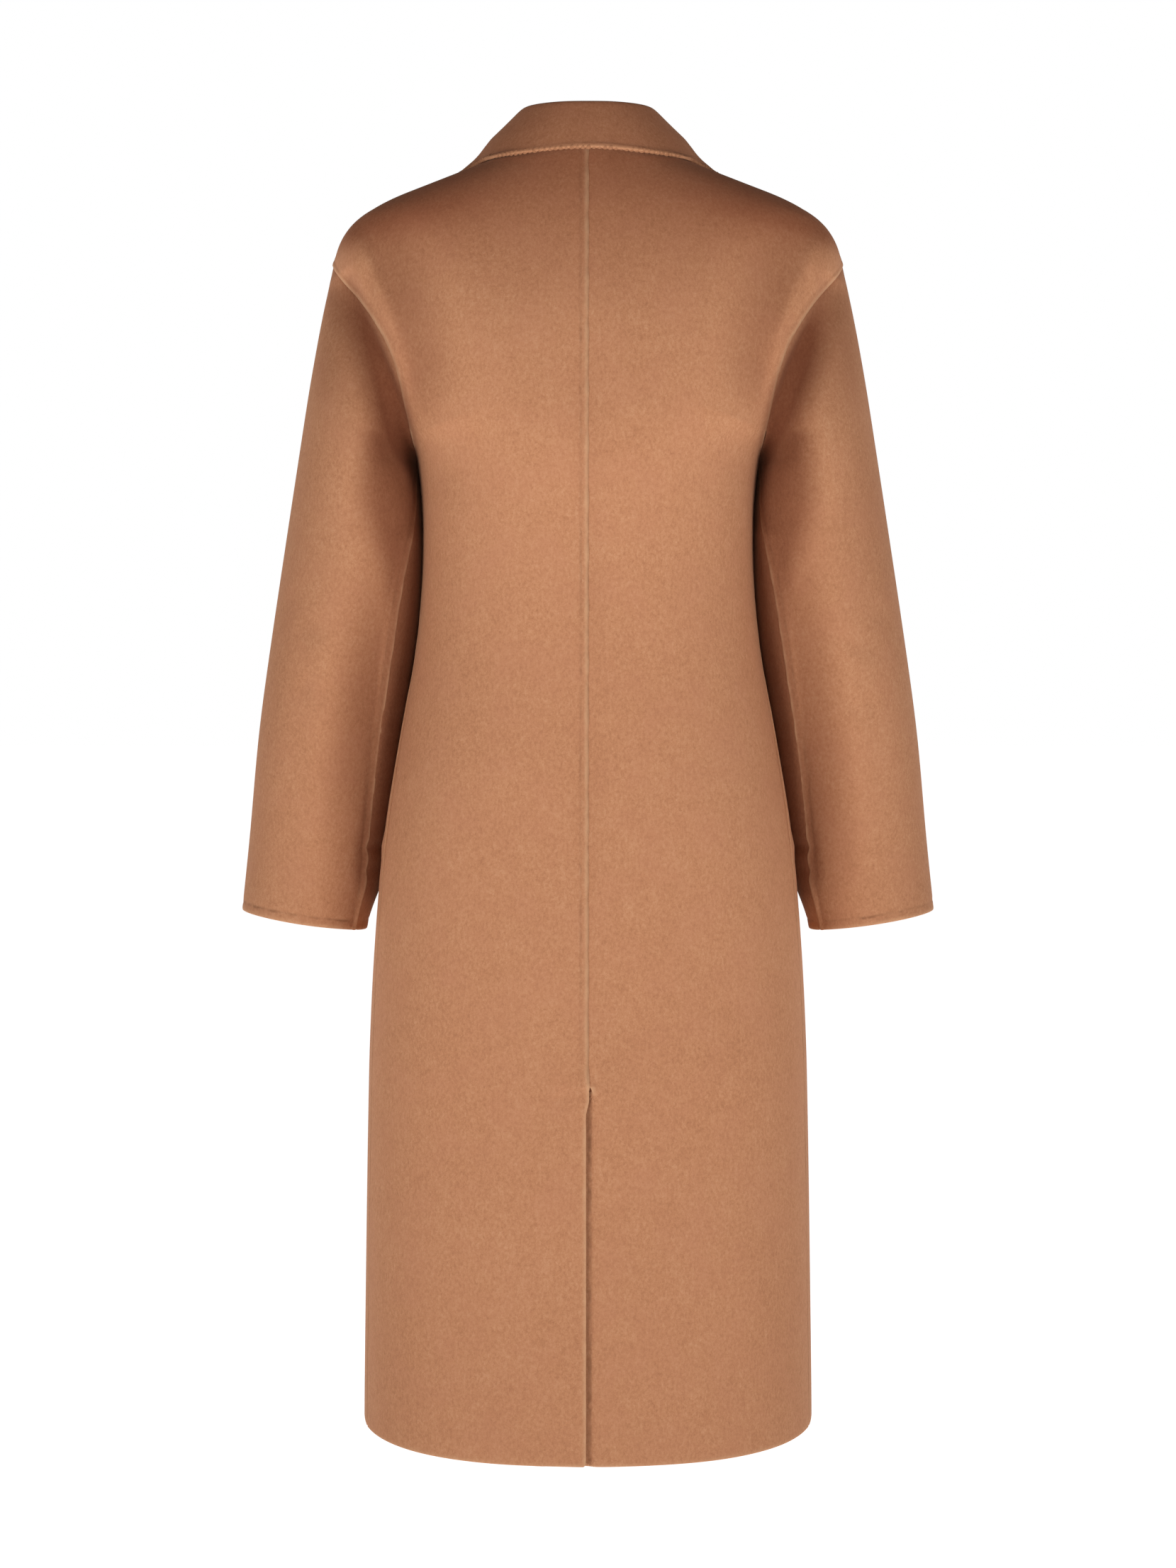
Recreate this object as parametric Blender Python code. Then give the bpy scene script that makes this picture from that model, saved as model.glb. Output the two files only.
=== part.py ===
# A long wool coat that keeps the shape of a worn garment with nobody inside.
# The front faces -Y, the wearer's left is +X, and the origin is the base of the
# neck, midway between the inner ends of the shoulder seams.
# Lengths are in millimetres here and become metres where each mesh is made.

import math

import bmesh
import bpy
import numpy as np
from mathutils import Vector
from mathutils.bvhtree import BVHTree

MM = 0.001

# Cloth and seams
CLOTH = 2.4                 # double-faced wool
SEAM_GAP = 0.3              # between two pieces sewn edge to edge
RANK = (-0.31, 0.17, 1.0)   # orders the ends of a seam's edges the same on both pieces
WOOL = (0.50, 0.25, 0.13)
WOOL_ROUGHNESS = 0.92
HORN = (0.10, 0.055, 0.03)
HORN_ROUGHNESS = 0.35

# Neck and shoulder
NECK_BACK_LEVEL = -2.0      # top of the centre back seam
NECK_SIDE_LEVEL = -7.0      # inner end of the shoulder seam
NECK_FRONT_LEVEL = -17.0    # where the roll line leaves the neck
NECK_FRONT_ANGLE = -54.0
SHOULDER_TIP_LEVEL = -95.0
CHEST_LEVEL = -262.0        # bottom of the armholes

# Level sections of the body. Down to the chest they run from the neck and the
# shoulder line; "seam" is the angle of the side seam behind the side.
SECTION = ("level", "half_width", "back", "front", "seam")
SECTIONS = (
    (-2.0, 72.0, 70.0, 13.0, 5.0),
    (-7.0, 80.0, 73.5, 20.0, 5.0),
    (-12.0, 94.0, 77.0, 31.0, 5.0),
    (-19.5, 116.0, 81.5, 46.0, 5.0),
    (-33.5, 155.0, 89.5, 58.0, 5.0),
    (-44.5, 184.0, 95.0, 65.0, 5.0),
    (-59.0, 205.0, 101.5, 73.0, 5.0),
    (-77.0, 216.0, 108.5, 83.0, 5.0),
    (-95.0, 222.0, 114.5, 91.5, 5.0),
    (-109.0, 219.0, 118.7, 97.5, 5.0),
    (-133.0, 213.0, 125.0, 106.0, 5.0),
    (-158.0, 207.0, 130.0, 113.5, 5.0),
    (-185.0, 198.0, 133.5, 119.0, 5.0),
    (-219.0, 181.0, 136.5, 125.0, 5.0),
    (-243.0, 163.5, 138.0, 128.5, 5.0),
    (-262.0, 149.0, 137.7, 130.0, 5.0),
    (-300.0, 144.5, 134.0, 129.0, 5.5),
    (-344.0, 143.0, 130.5, 128.0, 6.0),
    (-400.0, 146.5, 129.5, 128.5, 8.0),
    (-458.0, 155.0, 131.5, 131.0, 11.0),
    (-523.0, 167.5, 136.5, 135.5, 14.0),
    (-591.0, 179.0, 142.0, 140.5, 16.0),
    (-645.0, 184.0, 146.0, 144.0, 16.0),
    (-722.0, 189.5, 151.0, 148.5, 16.0),
    (-815.0, 192.5, 156.5, 153.5, 16.0),
    (-908.0, 194.2, 161.0, 158.0, 16.0),
    (-1001.0, 195.7, 165.0, 161.5, 16.0),
    (-1096.0, 197.0, 168.0, 165.0, 16.0),
)
ROUNDNESS = 2.4             # exponent of the sections, 2 is an ellipse
HEM_DROP = 6.0              # how much lower the hem hangs at the back

# Armholes, from the shoulder tip to the side seam: angle and level on the body
ARMHOLE_BACK = (
    (0.0, -95.0),
    (11.5, -108.0),
    (26.0, -131.0),
    (33.5, -156.0),
    (37.5, -183.0),
    (34.0, -214.0),
    (26.0, -239.0),
    (15.0, -254.0),
    (5.0, -262.0),
)
ARMHOLE_FRONT = (
    (0.0, -95.0),
    (-12.0, -107.0),
    (-29.0, -131.0),
    (-37.0, -158.0),
    (-40.0, -188.0),
    (-36.0, -218.0),
    (-25.0, -243.0),
    (-9.0, -258.0),
    (5.0, -262.0),
)

# Rows of each panel below the chest line
LEVELS = (CHEST_LEVEL, -296.0, -332.0, -368.0, -398.0, -413.0, -425.0, -436.0, -449.0,
          -480.0, -530.0, -585.0, -640.0, -710.0, -778.0, -790.0, -850.0, -930.0, -1010.0,
          -1096.0)
BACK_ROWS = 10              # rows of quads between the shoulder and the chest line
FRONT_ROWS = 13
NECK_COLUMNS = 5            # columns of quads across half the back neck
SHOULDER_COLUMNS = 9
FRONT_NECK_COLUMNS = 3
TOP_HOLD = 2.5              # above 1, the rows leave the shoulder's shape sooner

# Centre back
WELT_WIDTH = 9.0            # the seam stands up as a soft ridge
WELT_RISE = 1.1
VENT_TOP = -778.0
VENT_EDGE = 1.2             # how far the left edge passes the centre
VENT_BEND = 0.2             # the underlap follows the curve of the back
VENT_COLUMNS = (            # x and sink: the right side steps down, then runs on
    (-3.4, 0.3),
    (-1.9, 4.9),
    (20.0, 4.9),
    (42.0, 4.6),
)

# Fronts: level, width of the turned lapel or of the flat facing edge, turn, sink
LAPEL = ("level", "width", "turn", "sink")
LAPELS = (
    (-40.0, 88.0, 180.0, 0.0),
    (-95.0, 82.0, 180.0, 0.0),
    (-165.0, 68.0, 180.0, 0.0),
    (-262.0, 46.0, 180.0, 3.0),
    (-296.0, 39.0, 180.0, 7.5),
    (-332.0, 31.0, 180.0, 8.8),
    (-368.0, 21.0, 180.0, 9.0),
    (-398.0, 12.0, 180.0, 9.2),
    (-413.0, 4.5, 142.0, 9.4),
    (-425.0, 2.0, 90.0, 9.2),
    (-436.0, 4.5, 40.0, 8.6),
    (-449.0, 14.0, 0.0, 6.8),
    (-480.0, 24.0, 0.0, 4.8),
    (-530.0, 28.0, 0.0, 4.2),
    (-1096.0, 28.0, 0.0, 4.2),
)
BREAK_LEVEL = -430.0
ROLL_END_X = 3.0            # where the roll line would meet the break, past the centre
OVERLAP = 30.0              # how far each front passes the centre
FOLD_RADIUS = 0.9           # inside the turn of a lapel
FOLD_STEPS = 3
LAPEL_STEPS = 5
BEYOND = (44.0, 30.0, 20.0, 12.0, 6.0, 3.0)     # a row carried on past the roll line
BEYOND_ROUND = 150.0        # radius it takes there
GORGE_ROW = 2               # row of the front where the lapel's top edge lies
SINK_START = 75.0
SINK_FULL = 36.0

# In-seam pockets
POCKET_TOP = -470.0
POCKET_BOTTOM = -600.0
POCKET_LIFT = 1.5

# Sleeves: x, y and z of the outer and inner outline, then depth and lean on the way
SLEEVE_OUTER = (
    (222.0, 0.0, -95.0),
    (229.5, 0.0, -127.0),
    (238.0, 0.0, -177.0),
    (250.0, 0.0, -251.0),
    (262.0, 0.0, -325.0),
    (278.0, 0.0, -425.0),
    (289.0, 0.0, -499.0),
    (299.0, 0.0, -598.0),
    (306.0, 0.0, -657.0),
)
SLEEVE_INNER = (
    (149.0, 0.0, -262.0),
    (154.5, 0.0, -268.0),
    (155.5, 0.0, -284.0),
    (152.5, 0.0, -312.0),
    (150.8, 0.0, -344.0),
    (153.3, 0.0, -400.0),
    (161.0, 0.0, -458.0),
    (172.3, 0.0, -523.0),
    (182.5, 0.0, -591.0),
    (188.0, 0.0, -645.0),
    (194.0, 0.0, -675.0),
)
SLEEVE = ("along", "half_depth", "centre", "back_seam", "front_seam")
SLEEVES = (
    (0.0, 87.0, 2.0, 152.0, 218.0),
    (0.12, 84.0, 1.0, 152.0, 220.0),
    (0.3, 78.0, -1.0, 141.0, 222.0),
    (0.5, 74.0, -6.0, 139.5, 224.0),
    (0.75, 67.0, -15.0, 142.0, 222.0),
    (1.0, 62.0, -24.0, 149.0, 218.0),
)
SLEEVE_ROWS = 19
SLEEVE_CROWD = 1.12         # above 1, rows crowd towards the armhole
HEAD_FADE = 0.22            # share of the sleeve that eases out of the armhole's shape
SEAM_SETTLE = 0.12          # share in which the seams reach their own place
HEAD_VALLEY = 6.0           # soft valley behind the armhole seam
VALLEY_START = 0.03
VALLEY_ALONG = 0.075
VALLEY_REACH = 0.05
VALLEY_ANGLE = 118.0
VALLEY_SPREAD = 48.0

# Collar: x, y and z of the fold, then of the outer edge, from the centre back on
COLLAR_BACK = (
    (0.0, 62.0, 32.5, 0.0, 86.0, -9.5),
    (18.0, 59.5, 33.0, 31.0, 82.0, -11.0),
    (34.0, 51.0, 33.5, 58.0, 71.0, -13.0),
    (46.5, 37.5, 34.5, 79.0, 54.0, -15.5),
    (54.0, 20.0, 35.5, 95.0, 33.0, -17.5),
    (57.0, 0.0, 36.0, 106.0, 8.0, -14.0),
)
# In front: x, y and z of the fold, then the front's row and the reach along it
COLLAR_FRONT = (
    (58.5, -15.0, 30.0, 0.08, 77.0),
    (60.5, -30.0, 18.0, 0.28, 79.0),
    (63.0, -44.0, 2.0, 0.55, 80.0),
    (64.5, -54.0, -21.0, 0.78, 80.0),
    (63.0, -63.0, -38.0, 0.95, 79.5),
)
COLLAR_GORGE = 42.0         # length sewn to the lapel
COLLAR_TIP = 78.0           # reach of the collar's point from the roll line
COLLAR_TIP_ROW = 1.05
COLLAR_FOLD = 2.4           # inside radius of the fold
COLLAR_CLEAR = 3.0          # space between the fall and what it lies over
COLLAR_LOW = 1.6            # least space between them
LIFT_FROM = 60.0            # level from which the cloth below is looked for
LIFT_TILT = 0.35            # steepest cloth that the collar is lifted from
FALL_BOW = 1.5
SETTLE_ROUNDS = 4
SETTLE_MARKS = 4            # places tried each way across a cell
NECK_END_GAP = 2.5          # seam gaps left near the gorge, where the front twists
COLLAR_ROW_GAP = 0.05       # share of a row between the collar's end and the lapel
STAND_STEPS = 3
FALL_STEPS = 7

# Buttons
BUTTON_LEVELS = (-462.0, -600.0, -738.0)
BUTTON_RADIUS = 14.0
BUTTON_THICK = 4.2
BUTTON_SEAT = 0.4
BUTTON_SIDES = 28
BUTTON_HOLE = 1.2
BUTTON_HOLE_RING = 3.4
BUTTON_PROFILE = (          # radius and height as shares of the full size
    (0.0, 0.0), (0.80, 0.0), (0.97, 0.28), (1.0, 0.55),
    (0.95, 0.88), (0.84, 1.0), (0.70, 0.86), (0.58, 0.62), (0.0, 0.55),
)


# Tables and curves

def column(table, names, name):
    at = names.index(name)
    return np.array([row[at] for row in table])


def unit(v):
    v = np.asarray(v, float)
    return v / np.maximum(np.linalg.norm(v, axis=-1, keepdims=True), 1e-9)


def bell(offset, reach):
    return math.exp(-(offset / reach) ** 2)


def ease(share):
    share = min(1.0, max(0.0, share))
    return share * share * (3.0 - 2.0 * share)


def through(knots, values, at):
    # smooth curve through the values, held at both ends
    knots = np.asarray(knots, float)
    values = np.asarray(values, float)
    flip = knots[-1] < knots[0]
    if flip:
        knots = knots[::-1]
        values = values[::-1]
    at = min(max(at, knots[0]), knots[-1])
    i = int(np.clip(np.searchsorted(knots, at) - 1, 0, len(knots) - 2))
    span = knots[i + 1] - knots[i]
    slope = (values[i + 1] - values[i]) / span
    before = slope
    after = slope
    if i > 0:
        before = 0.5 * (slope + (values[i] - values[i - 1]) / (knots[i] - knots[i - 1]))
    if i < len(knots) - 2:
        after = 0.5 * (slope + (values[i + 2] - values[i + 1]) / (knots[i + 2] - knots[i + 1]))
    t = (at - knots[i]) / span
    return (values[i] * (2 * t ** 3 - 3 * t ** 2 + 1)
            + before * span * (t ** 3 - 2 * t ** 2 + t)
            + values[i + 1] * (3 * t ** 2 - 2 * t ** 3)
            + after * span * (t ** 3 - t ** 2))


def lengths(points):
    steps = np.linalg.norm(np.diff(points, axis=0), axis=1)
    return np.concatenate([[0.0], np.cumsum(steps)])


def on_curve(points, share):
    # point at a share of the length of a smooth curve through the points
    points = np.asarray(points, float)
    run = lengths(points)
    return through(run / run[-1], points, share)


def grid_normals(points):
    # outward normals of a grid whose rows run down and whose columns run round
    down = np.gradient(points, axis=0)
    across = np.gradient(points, axis=1)
    return unit(np.cross(down, across))


# The body's form

def at_level(name, level):
    return through(column(SECTIONS, SECTION, "level"), column(SECTIONS, SECTION, name), level)


def body(angle, level):
    # point of the body; 0 degrees is the side, 90 the centre back, -90 the centre front
    width = at_level("half_width", level)
    depth = at_level("back" if angle >= 0.0 else "front", level)
    c = math.cos(math.radians(angle))
    s = math.sin(math.radians(angle))
    power = 2.0 / ROUNDNESS
    x = math.copysign(abs(c) ** power, c) * width
    y = math.copysign(abs(s) ** power, s) * depth
    fraction = max(0.0, (level - CHEST_LEVEL) / (LEVELS[-1] - CHEST_LEVEL))
    return np.array([x, y, level - HEM_DROP * s * fraction])


def body_normal(angle, level):
    round_ = body(angle + 0.5, level) - body(angle - 0.5, level)
    rise = body(angle, level + 0.5) - body(angle, level - 0.5)
    return unit(np.cross(round_, rise))


def front_angle(level, x):
    # angle at which the front has this x
    share = math.copysign(abs(x / at_level("half_width", level)) ** (ROUNDNESS / 2.0), x)
    return -math.degrees(math.acos(share))


def marks(pairs, count):
    # a curve on the body through (angle, level) pairs, cut into equal lengths
    pairs = np.asarray(pairs, float)
    fine = np.array([on_curve(pairs, k / 200.0) for k in range(201)])
    run = lengths(np.array([body(a, z) for a, z in fine]))
    steps = np.linspace(0.0, run[-1], count + 1)
    return np.array([[np.interp(m, run, fine[:, k]) for k in range(2)] for m in steps])


def patch(top, left, right):
    # angles and levels of rows from left to right; the first follows the top edge
    rows = len(left)
    columns = len(top)
    grid = np.zeros((rows, columns, 2))
    for r in range(rows):
        hold = (1.0 - r / (rows - 1)) ** TOP_HOLD
        for c in range(columns):
            u = c / (columns - 1)
            straight = (1 - u) * top[0] + u * top[-1]
            grid[r, c] = (1 - u) * left[r] + u * right[r] + hold * (top[c] - straight)
    return grid


def shoulder_marks():
    ends = [(0.0, z) for z in np.linspace(NECK_SIDE_LEVEL, SHOULDER_TIP_LEVEL, 12)]
    return marks(ends, SHOULDER_COLUMNS)


def on_body(pairs):
    points = np.array([[body(a, z) for a, z in row] for row in pairs])
    normals = np.array([[body_normal(a, z) for a, z in row] for row in pairs])
    return points, normals


def back_grid():
    neck = marks([(a, NECK_BACK_LEVEL + (NECK_SIDE_LEVEL - NECK_BACK_LEVEL) * (1 - a / 90.0) ** 2)
                  for a in np.linspace(90.0, 0.0, 10)], NECK_COLUMNS)
    top = np.vstack([neck[:-1], shoulder_marks()])
    left = marks([(90.0, z) for z in np.linspace(NECK_BACK_LEVEL, CHEST_LEVEL, 12)], BACK_ROWS)
    right = marks(ARMHOLE_BACK, BACK_ROWS)
    count = NECK_COLUMNS + SHOULDER_COLUMNS
    lower = []
    for level in LEVELS:
        seam = at_level("seam", level)
        lower.append([(90.0 + (seam - 90.0) * c / count, level) for c in range(count + 1)])
    upper = patch(top, left, right)
    return on_body(np.concatenate([upper, np.array(lower[1:])]))


def roll_x(level):
    if level < BREAK_LEVEL:
        return lapel_value("width", level) - OVERLAP
    share = (NECK_FRONT_LEVEL - level) / (NECK_FRONT_LEVEL - BREAK_LEVEL)
    start = body(NECK_FRONT_ANGLE, NECK_FRONT_LEVEL)[0]
    return start + (ROLL_END_X - OVERLAP - start) * share


def front_grid():
    neck = marks([(0.0, NECK_SIDE_LEVEL), (-37.0, -11.5), (NECK_FRONT_ANGLE, NECK_FRONT_LEVEL)],
                 FRONT_NECK_COLUMNS)[::-1]
    top = np.vstack([neck[:-1], shoulder_marks()])
    left = np.array([(front_angle(z, roll_x(z)), z)
                     for z in np.linspace(NECK_FRONT_LEVEL, CHEST_LEVEL, FRONT_ROWS + 1)])
    right = marks(ARMHOLE_FRONT, FRONT_ROWS)
    count = FRONT_NECK_COLUMNS + SHOULDER_COLUMNS
    lower = []
    for level in LEVELS:
        start = front_angle(level, roll_x(level))
        seam = at_level("seam", level)
        lower.append([(start + (seam - start) * c / count, level) for c in range(count + 1)])
    upper = patch(top, left, right)
    return on_body(np.concatenate([upper, np.array(lower[1:])]))


# Walls

def wall(name, outer, vectors, cells, colour, roughness):
    # closed shell between a surface and the same surface moved by the vectors
    mesh = bpy.data.meshes.new(name)
    bm = bmesh.new()
    keys = sorted(outer)
    front = {k: bm.verts.new(Vector(outer[k]) * MM) for k in keys}
    rear = {k: bm.verts.new(Vector(np.asarray(outer[k]) + vectors[k]) * MM) for k in keys}
    sides = {}
    for cell in cells:
        a, b, c, d = cell
        if np.linalg.norm(outer[a] - outer[c]) > np.linalg.norm(outer[b] - outer[d]):
            a, b, c, d = b, c, d, a
        for corner in ((a, b, c), (a, c, d)):
            bm.faces.new([front[k] for k in corner])
            bm.faces.new([rear[k] for k in reversed(corner)])
        for a, b in zip(cell, cell[1:] + cell[:1]):
            if (b, a) in sides:
                del sides[(b, a)]
            else:
                sides[(a, b)] = True
    for a, b in sides:
        # two pieces that share a seam split their edge faces the same way
        if edge_rank(outer[a]) > edge_rank(outer[b]):
            bm.faces.new([front[b], front[a], rear[b]])
            bm.faces.new([front[a], rear[a], rear[b]])
        else:
            bm.faces.new([front[b], front[a], rear[a]])
            bm.faces.new([front[b], rear[a], rear[b]])
    bmesh.ops.recalc_face_normals(bm, faces=bm.faces)
    bm.to_mesh(mesh)
    bm.free()
    return finish(name, mesh, colour, roughness)


def edge_rank(point):
    return float(np.dot(point * np.sign([point[0], 1.0, 1.0]), RANK))


def finish(name, mesh, colour, roughness):
    mesh.shade_smooth()
    mesh.set_sharp_from_angle(angle=math.radians(40.0))
    obj = bpy.data.objects.new(name, mesh)
    bpy.context.collection.objects.link(obj)
    material = bpy.data.materials.new(name + "_finish")
    material.use_nodes = True
    shader = material.node_tree.nodes["Principled BSDF"]
    shader.inputs["Base Color"].default_value = (*colour, 1.0)
    shader.inputs["Roughness"].default_value = roughness
    shader.inputs["Metallic"].default_value = 0.0
    mesh.materials.append(material)
    return obj


def grid_cells(rows, columns, first_row=0, first_column=0):
    cells = []
    for r in range(first_row, first_row + rows - 1):
        for c in range(first_column, first_column + columns - 1):
            cells.append([(r, c), (r + 1, c), (r + 1, c + 1), (r, c + 1)])
    return cells


def draw_in(grid, edge, gap):
    # move one edge of a grid towards its neighbours, to leave half a seam's gap
    moved = grid.copy()
    if edge == "first_column":
        moved[:, 0] += unit(grid[:, 1] - grid[:, 0]) * gap
    if edge == "last_column":
        moved[:, -1] += unit(grid[:, -2] - grid[:, -1]) * gap
    if edge == "first_row":
        moved[0] += unit(grid[1] - grid[0]) * gap
    if edge == "last_row":
        moved[-1] += unit(grid[-2] - grid[-1]) * gap
    return moved


def mirror(points):
    return {k: np.asarray(p) * (-1.0, 1.0, 1.0) for k, p in points.items()}


def as_points(grid):
    return {(r, c): grid[r, c] for r in range(grid.shape[0]) for c in range(grid.shape[1])}


# Sleeves

def armhole_ring(back, front):
    # the armhole from the shoulder tip round the back, the underarm and the front
    behind = [back[r, -1] for r in range(BACK_ROWS + 1)]
    ahead = [front[r, -1] for r in range(1, FRONT_ROWS)]
    return np.array(behind + ahead[::-1])


def sleeve_ring(share, angles):
    outer = on_curve(SLEEVE_OUTER, share)
    inner = on_curve(SLEEVE_INNER, share)
    along = column(SLEEVES, SLEEVE, "along")
    depth = through(along, column(SLEEVES, SLEEVE, "half_depth"), share)
    centre_y = through(along, column(SLEEVES, SLEEVE, "centre"), share)
    centre = 0.5 * (outer + inner) + np.array([0.0, centre_y, 0.0])
    arm = 0.5 * (outer - inner)
    return np.array([
        centre + arm * math.cos(a) + np.array([0.0, depth * math.sin(a), 0.0])
        for a in angles])


def sleeve_grid(ring):
    outer = np.asarray(SLEEVE_OUTER[0])
    inner = np.asarray(SLEEVE_INNER[0])
    centre = 0.5 * (outer + inner) + np.array([0.0, SLEEVES[0][2], 0.0])
    arm = 0.5 * (outer - inner)
    reach = np.linalg.norm(arm)
    base = []
    for p in ring:
        offset = p - centre
        cos_part = float(offset @ arm) / reach ** 2
        sin_part = offset[1] / SLEEVES[0][1]
        base.append(math.atan2(sin_part, cos_part) % (2.0 * math.pi))
    base = np.array(base)
    base[0] = 0.0
    seam_back = BACK_ROWS
    seam_front = int(np.argmin(np.abs(base - math.radians(SLEEVES[0][4]))))
    along = column(SLEEVES, SLEEVE, "along")
    start = sleeve_ring(0.0, base)
    rows = []
    for k in range(SLEEVE_ROWS):
        share = (k / (SLEEVE_ROWS - 1)) ** SLEEVE_CROWD
        back = math.radians(through(along, column(SLEEVES, SLEEVE, "back_seam"), share))
        front = math.radians(through(along, column(SLEEVES, SLEEVE, "front_seam"), share))
        settled = ease(share / SEAM_SETTLE)
        back = base[seam_back] + (back - base[seam_back]) * settled
        front = base[seam_front] + (front - base[seam_front]) * settled
        angles = np.interp(base, [0.0, base[seam_back], base[seam_front], 2.0 * math.pi],
                           [0.0, back, front, 2.0 * math.pi])
        row = sleeve_ring(share, angles)
        fade = (1.0 - ease(share / HEAD_FADE))
        row = row + (ring - start) * fade
        middle = row.mean(axis=0)
        for c, a in enumerate(angles):
            dip = HEAD_VALLEY * bell(share - VALLEY_ALONG, VALLEY_REACH)
            dip *= bell(math.degrees(a) - VALLEY_ANGLE, VALLEY_SPREAD)
            row[c] += unit(middle - row[c]) * dip * ease(share / VALLEY_START)
        rows.append(row)
    return np.array(rows), seam_back, seam_front


def ring_normals(grid):
    down = np.gradient(grid, axis=0)
    across = np.roll(grid, -1, axis=1) - np.roll(grid, 1, axis=1)
    return unit(np.cross(down, across))


# Front panel with its turned lapel

class Rail:
    # one row of the front, from beyond the roll line to the side

    def __init__(self, points, normals, zero):
        self.points = points
        self.normals = normals
        run = lengths(points)
        self.run = run - run[zero]

    def at(self, s):
        place = np.array([np.interp(s, self.run, self.points[:, a]) for a in range(3)])
        normal = unit([np.interp(s, self.run, self.normals[:, a]) for a in range(3)])
        return place, normal


def front_rails(grid, normals):
    # each row carried on past the roll line, along the body below the chest
    rails = []
    for r in range(grid.shape[0]):
        row = grid[r]
        extra = []
        for d in BEYOND:
            if r < FRONT_ROWS:
                extra.append(row[0] + unit(row[0] - row[1]) * d)
            else:
                level = LEVELS[r - FRONT_ROWS]
                extra.append(body(front_angle(level, row[0][0] - d), level))
        extra_normals = []
        for p in extra:
            tilt = normals[r, 0].copy()
            tilt[0] = normals[r, 0][0] + (p[0] - row[0][0]) / BEYOND_ROUND
            extra_normals.append(unit(tilt))
        points = np.vstack([extra, row])
        all_normals = np.vstack([extra_normals, normals[r]])
        rails.append(Rail(points, all_normals, len(BEYOND)))
    return rails


def lapel_value(name, level):
    return through(column(LAPELS, LAPEL, "level"), column(LAPELS, LAPEL, name), level)


def sink_depth(point, level):
    share = (SINK_START - point[0]) / (SINK_START - SINK_FULL)
    return lapel_value("sink", level) * ease(share)


def strip_points(rail, level, sunk):
    # the turned or flat strip past the roll line, as points and wall vectors
    width = lapel_value("width", level)
    turn = math.radians(lapel_value("turn", level))
    points = []
    vectors = []
    arc = FOLD_RADIUS * turn
    count = FOLD_STEPS + LAPEL_STEPS
    for k in range(1, count + 1):
        # columns gather in the fold where the lapel is turned, and spread where it is flat
        gathered = arc * min(1.0, k / FOLD_STEPS) + width * max(0, k - FOLD_STEPS) / LAPEL_STEPS
        even = (arc + width) * k / count
        along = even + (gathered - even) * turn / math.pi
        angle = min(turn, along / FOLD_RADIUS)
        reach = max(0.0, along - arc)
        ahead = FOLD_RADIUS * math.sin(angle) + reach * math.cos(turn)
        height = FOLD_RADIUS * (1.0 - math.cos(angle)) + reach * math.sin(turn)
        # run back towards the side is negative on the rail's own measure
        place, normal = rail.at(-ahead)
        toward = unit(rail.at(-ahead - 1.0)[0] - rail.at(-ahead + 1.0)[0])
        low = sink_depth(place, level) if sunk else 0.0
        points.append(place + normal * (height - low))
        vectors.append(CLOTH * (math.sin(angle) * toward - math.cos(angle) * normal))
    return points, vectors


def build_front(name, grid, normals, flip, sunk):
    rails = front_rails(grid, normals)
    levels = [grid[r, 0, 2] for r in range(FRONT_ROWS)] + list(LEVELS)
    outer = {}
    vectors = {}
    for r in range(grid.shape[0]):
        for c in range(grid.shape[1]):
            low = sink_depth(grid[r, c], levels[r]) if sunk else 0.0
            outer[(r, c)] = grid[r, c] - normals[r, c] * low
            vectors[(r, c)] = -normals[r, c] * CLOTH
    cells = grid_cells(grid.shape[0], grid.shape[1])
    for r in range(GORGE_ROW, grid.shape[0]):
        points, walls = strip_points(rails[r], levels[r], sunk)
        for k, (p, w) in enumerate(zip(points, walls)):
            outer[(r, -1 - k)] = p
            vectors[(r, -1 - k)] = w
    strip = FOLD_STEPS + LAPEL_STEPS
    cells += grid_cells(grid.shape[0] - GORGE_ROW, strip + 1, GORGE_ROW, -strip)
    if flip:
        outer = mirror(outer)
        vectors = mirror(vectors)
    return wall(name, outer, vectors, cells, WOOL, WOOL_ROUGHNESS), rails, outer


# Back panel with its vent

def build_back(name, grid, normals, flip, laps_under):
    grid = grid.copy()
    for r in range(grid.shape[0]):
        for c in range(grid.shape[1]):
            grid[r, c] += normals[r, c] * WELT_RISE * bell(grid[r, c, 0], WELT_WIDTH)
    outer = as_points(grid)
    vectors = {k: -normals[k] * CLOTH for k in outer}
    cells = grid_cells(grid.shape[0], grid.shape[1])
    vent_row = BACK_ROWS + LEVELS.index(VENT_TOP) + 1
    for r in range(vent_row, grid.shape[0]):
        if not laps_under:
            outer[(r, 0)] = grid[r, 0] - np.array([VENT_EDGE, 0.0, 0.0])
            continue
        for k, (x, sink) in enumerate(VENT_COLUMNS):
            # before mirroring, this side's underlap runs on to negative x
            bend = VENT_BEND * x * x / grid[r, 0, 1]
            place = grid[r, 0] - np.array([x, bend, 0.0]) - normals[r, 0] * sink
            outer[(r, -k)] = place
            vectors[(r, -k)] = -normals[r, 0] * CLOTH
    if laps_under:
        extra = len(VENT_COLUMNS) - 1
        cells += grid_cells(grid.shape[0] - vent_row, extra + 1, vent_row, -extra)
    if flip:
        outer = mirror(outer)
        vectors = mirror(vectors)
    return wall(name, outer, vectors, cells, WOOL, WOOL_ROUGHNESS)


# Collar

def tree_of(objects):
    verts = []
    faces = []
    for obj in objects:
        base = len(verts)
        verts += [v.co / MM for v in obj.data.vertices]
        faces += [[base + i for i in p.vertices] for p in obj.data.polygons]
    return BVHTree.FromPolygons(verts, faces)


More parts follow.
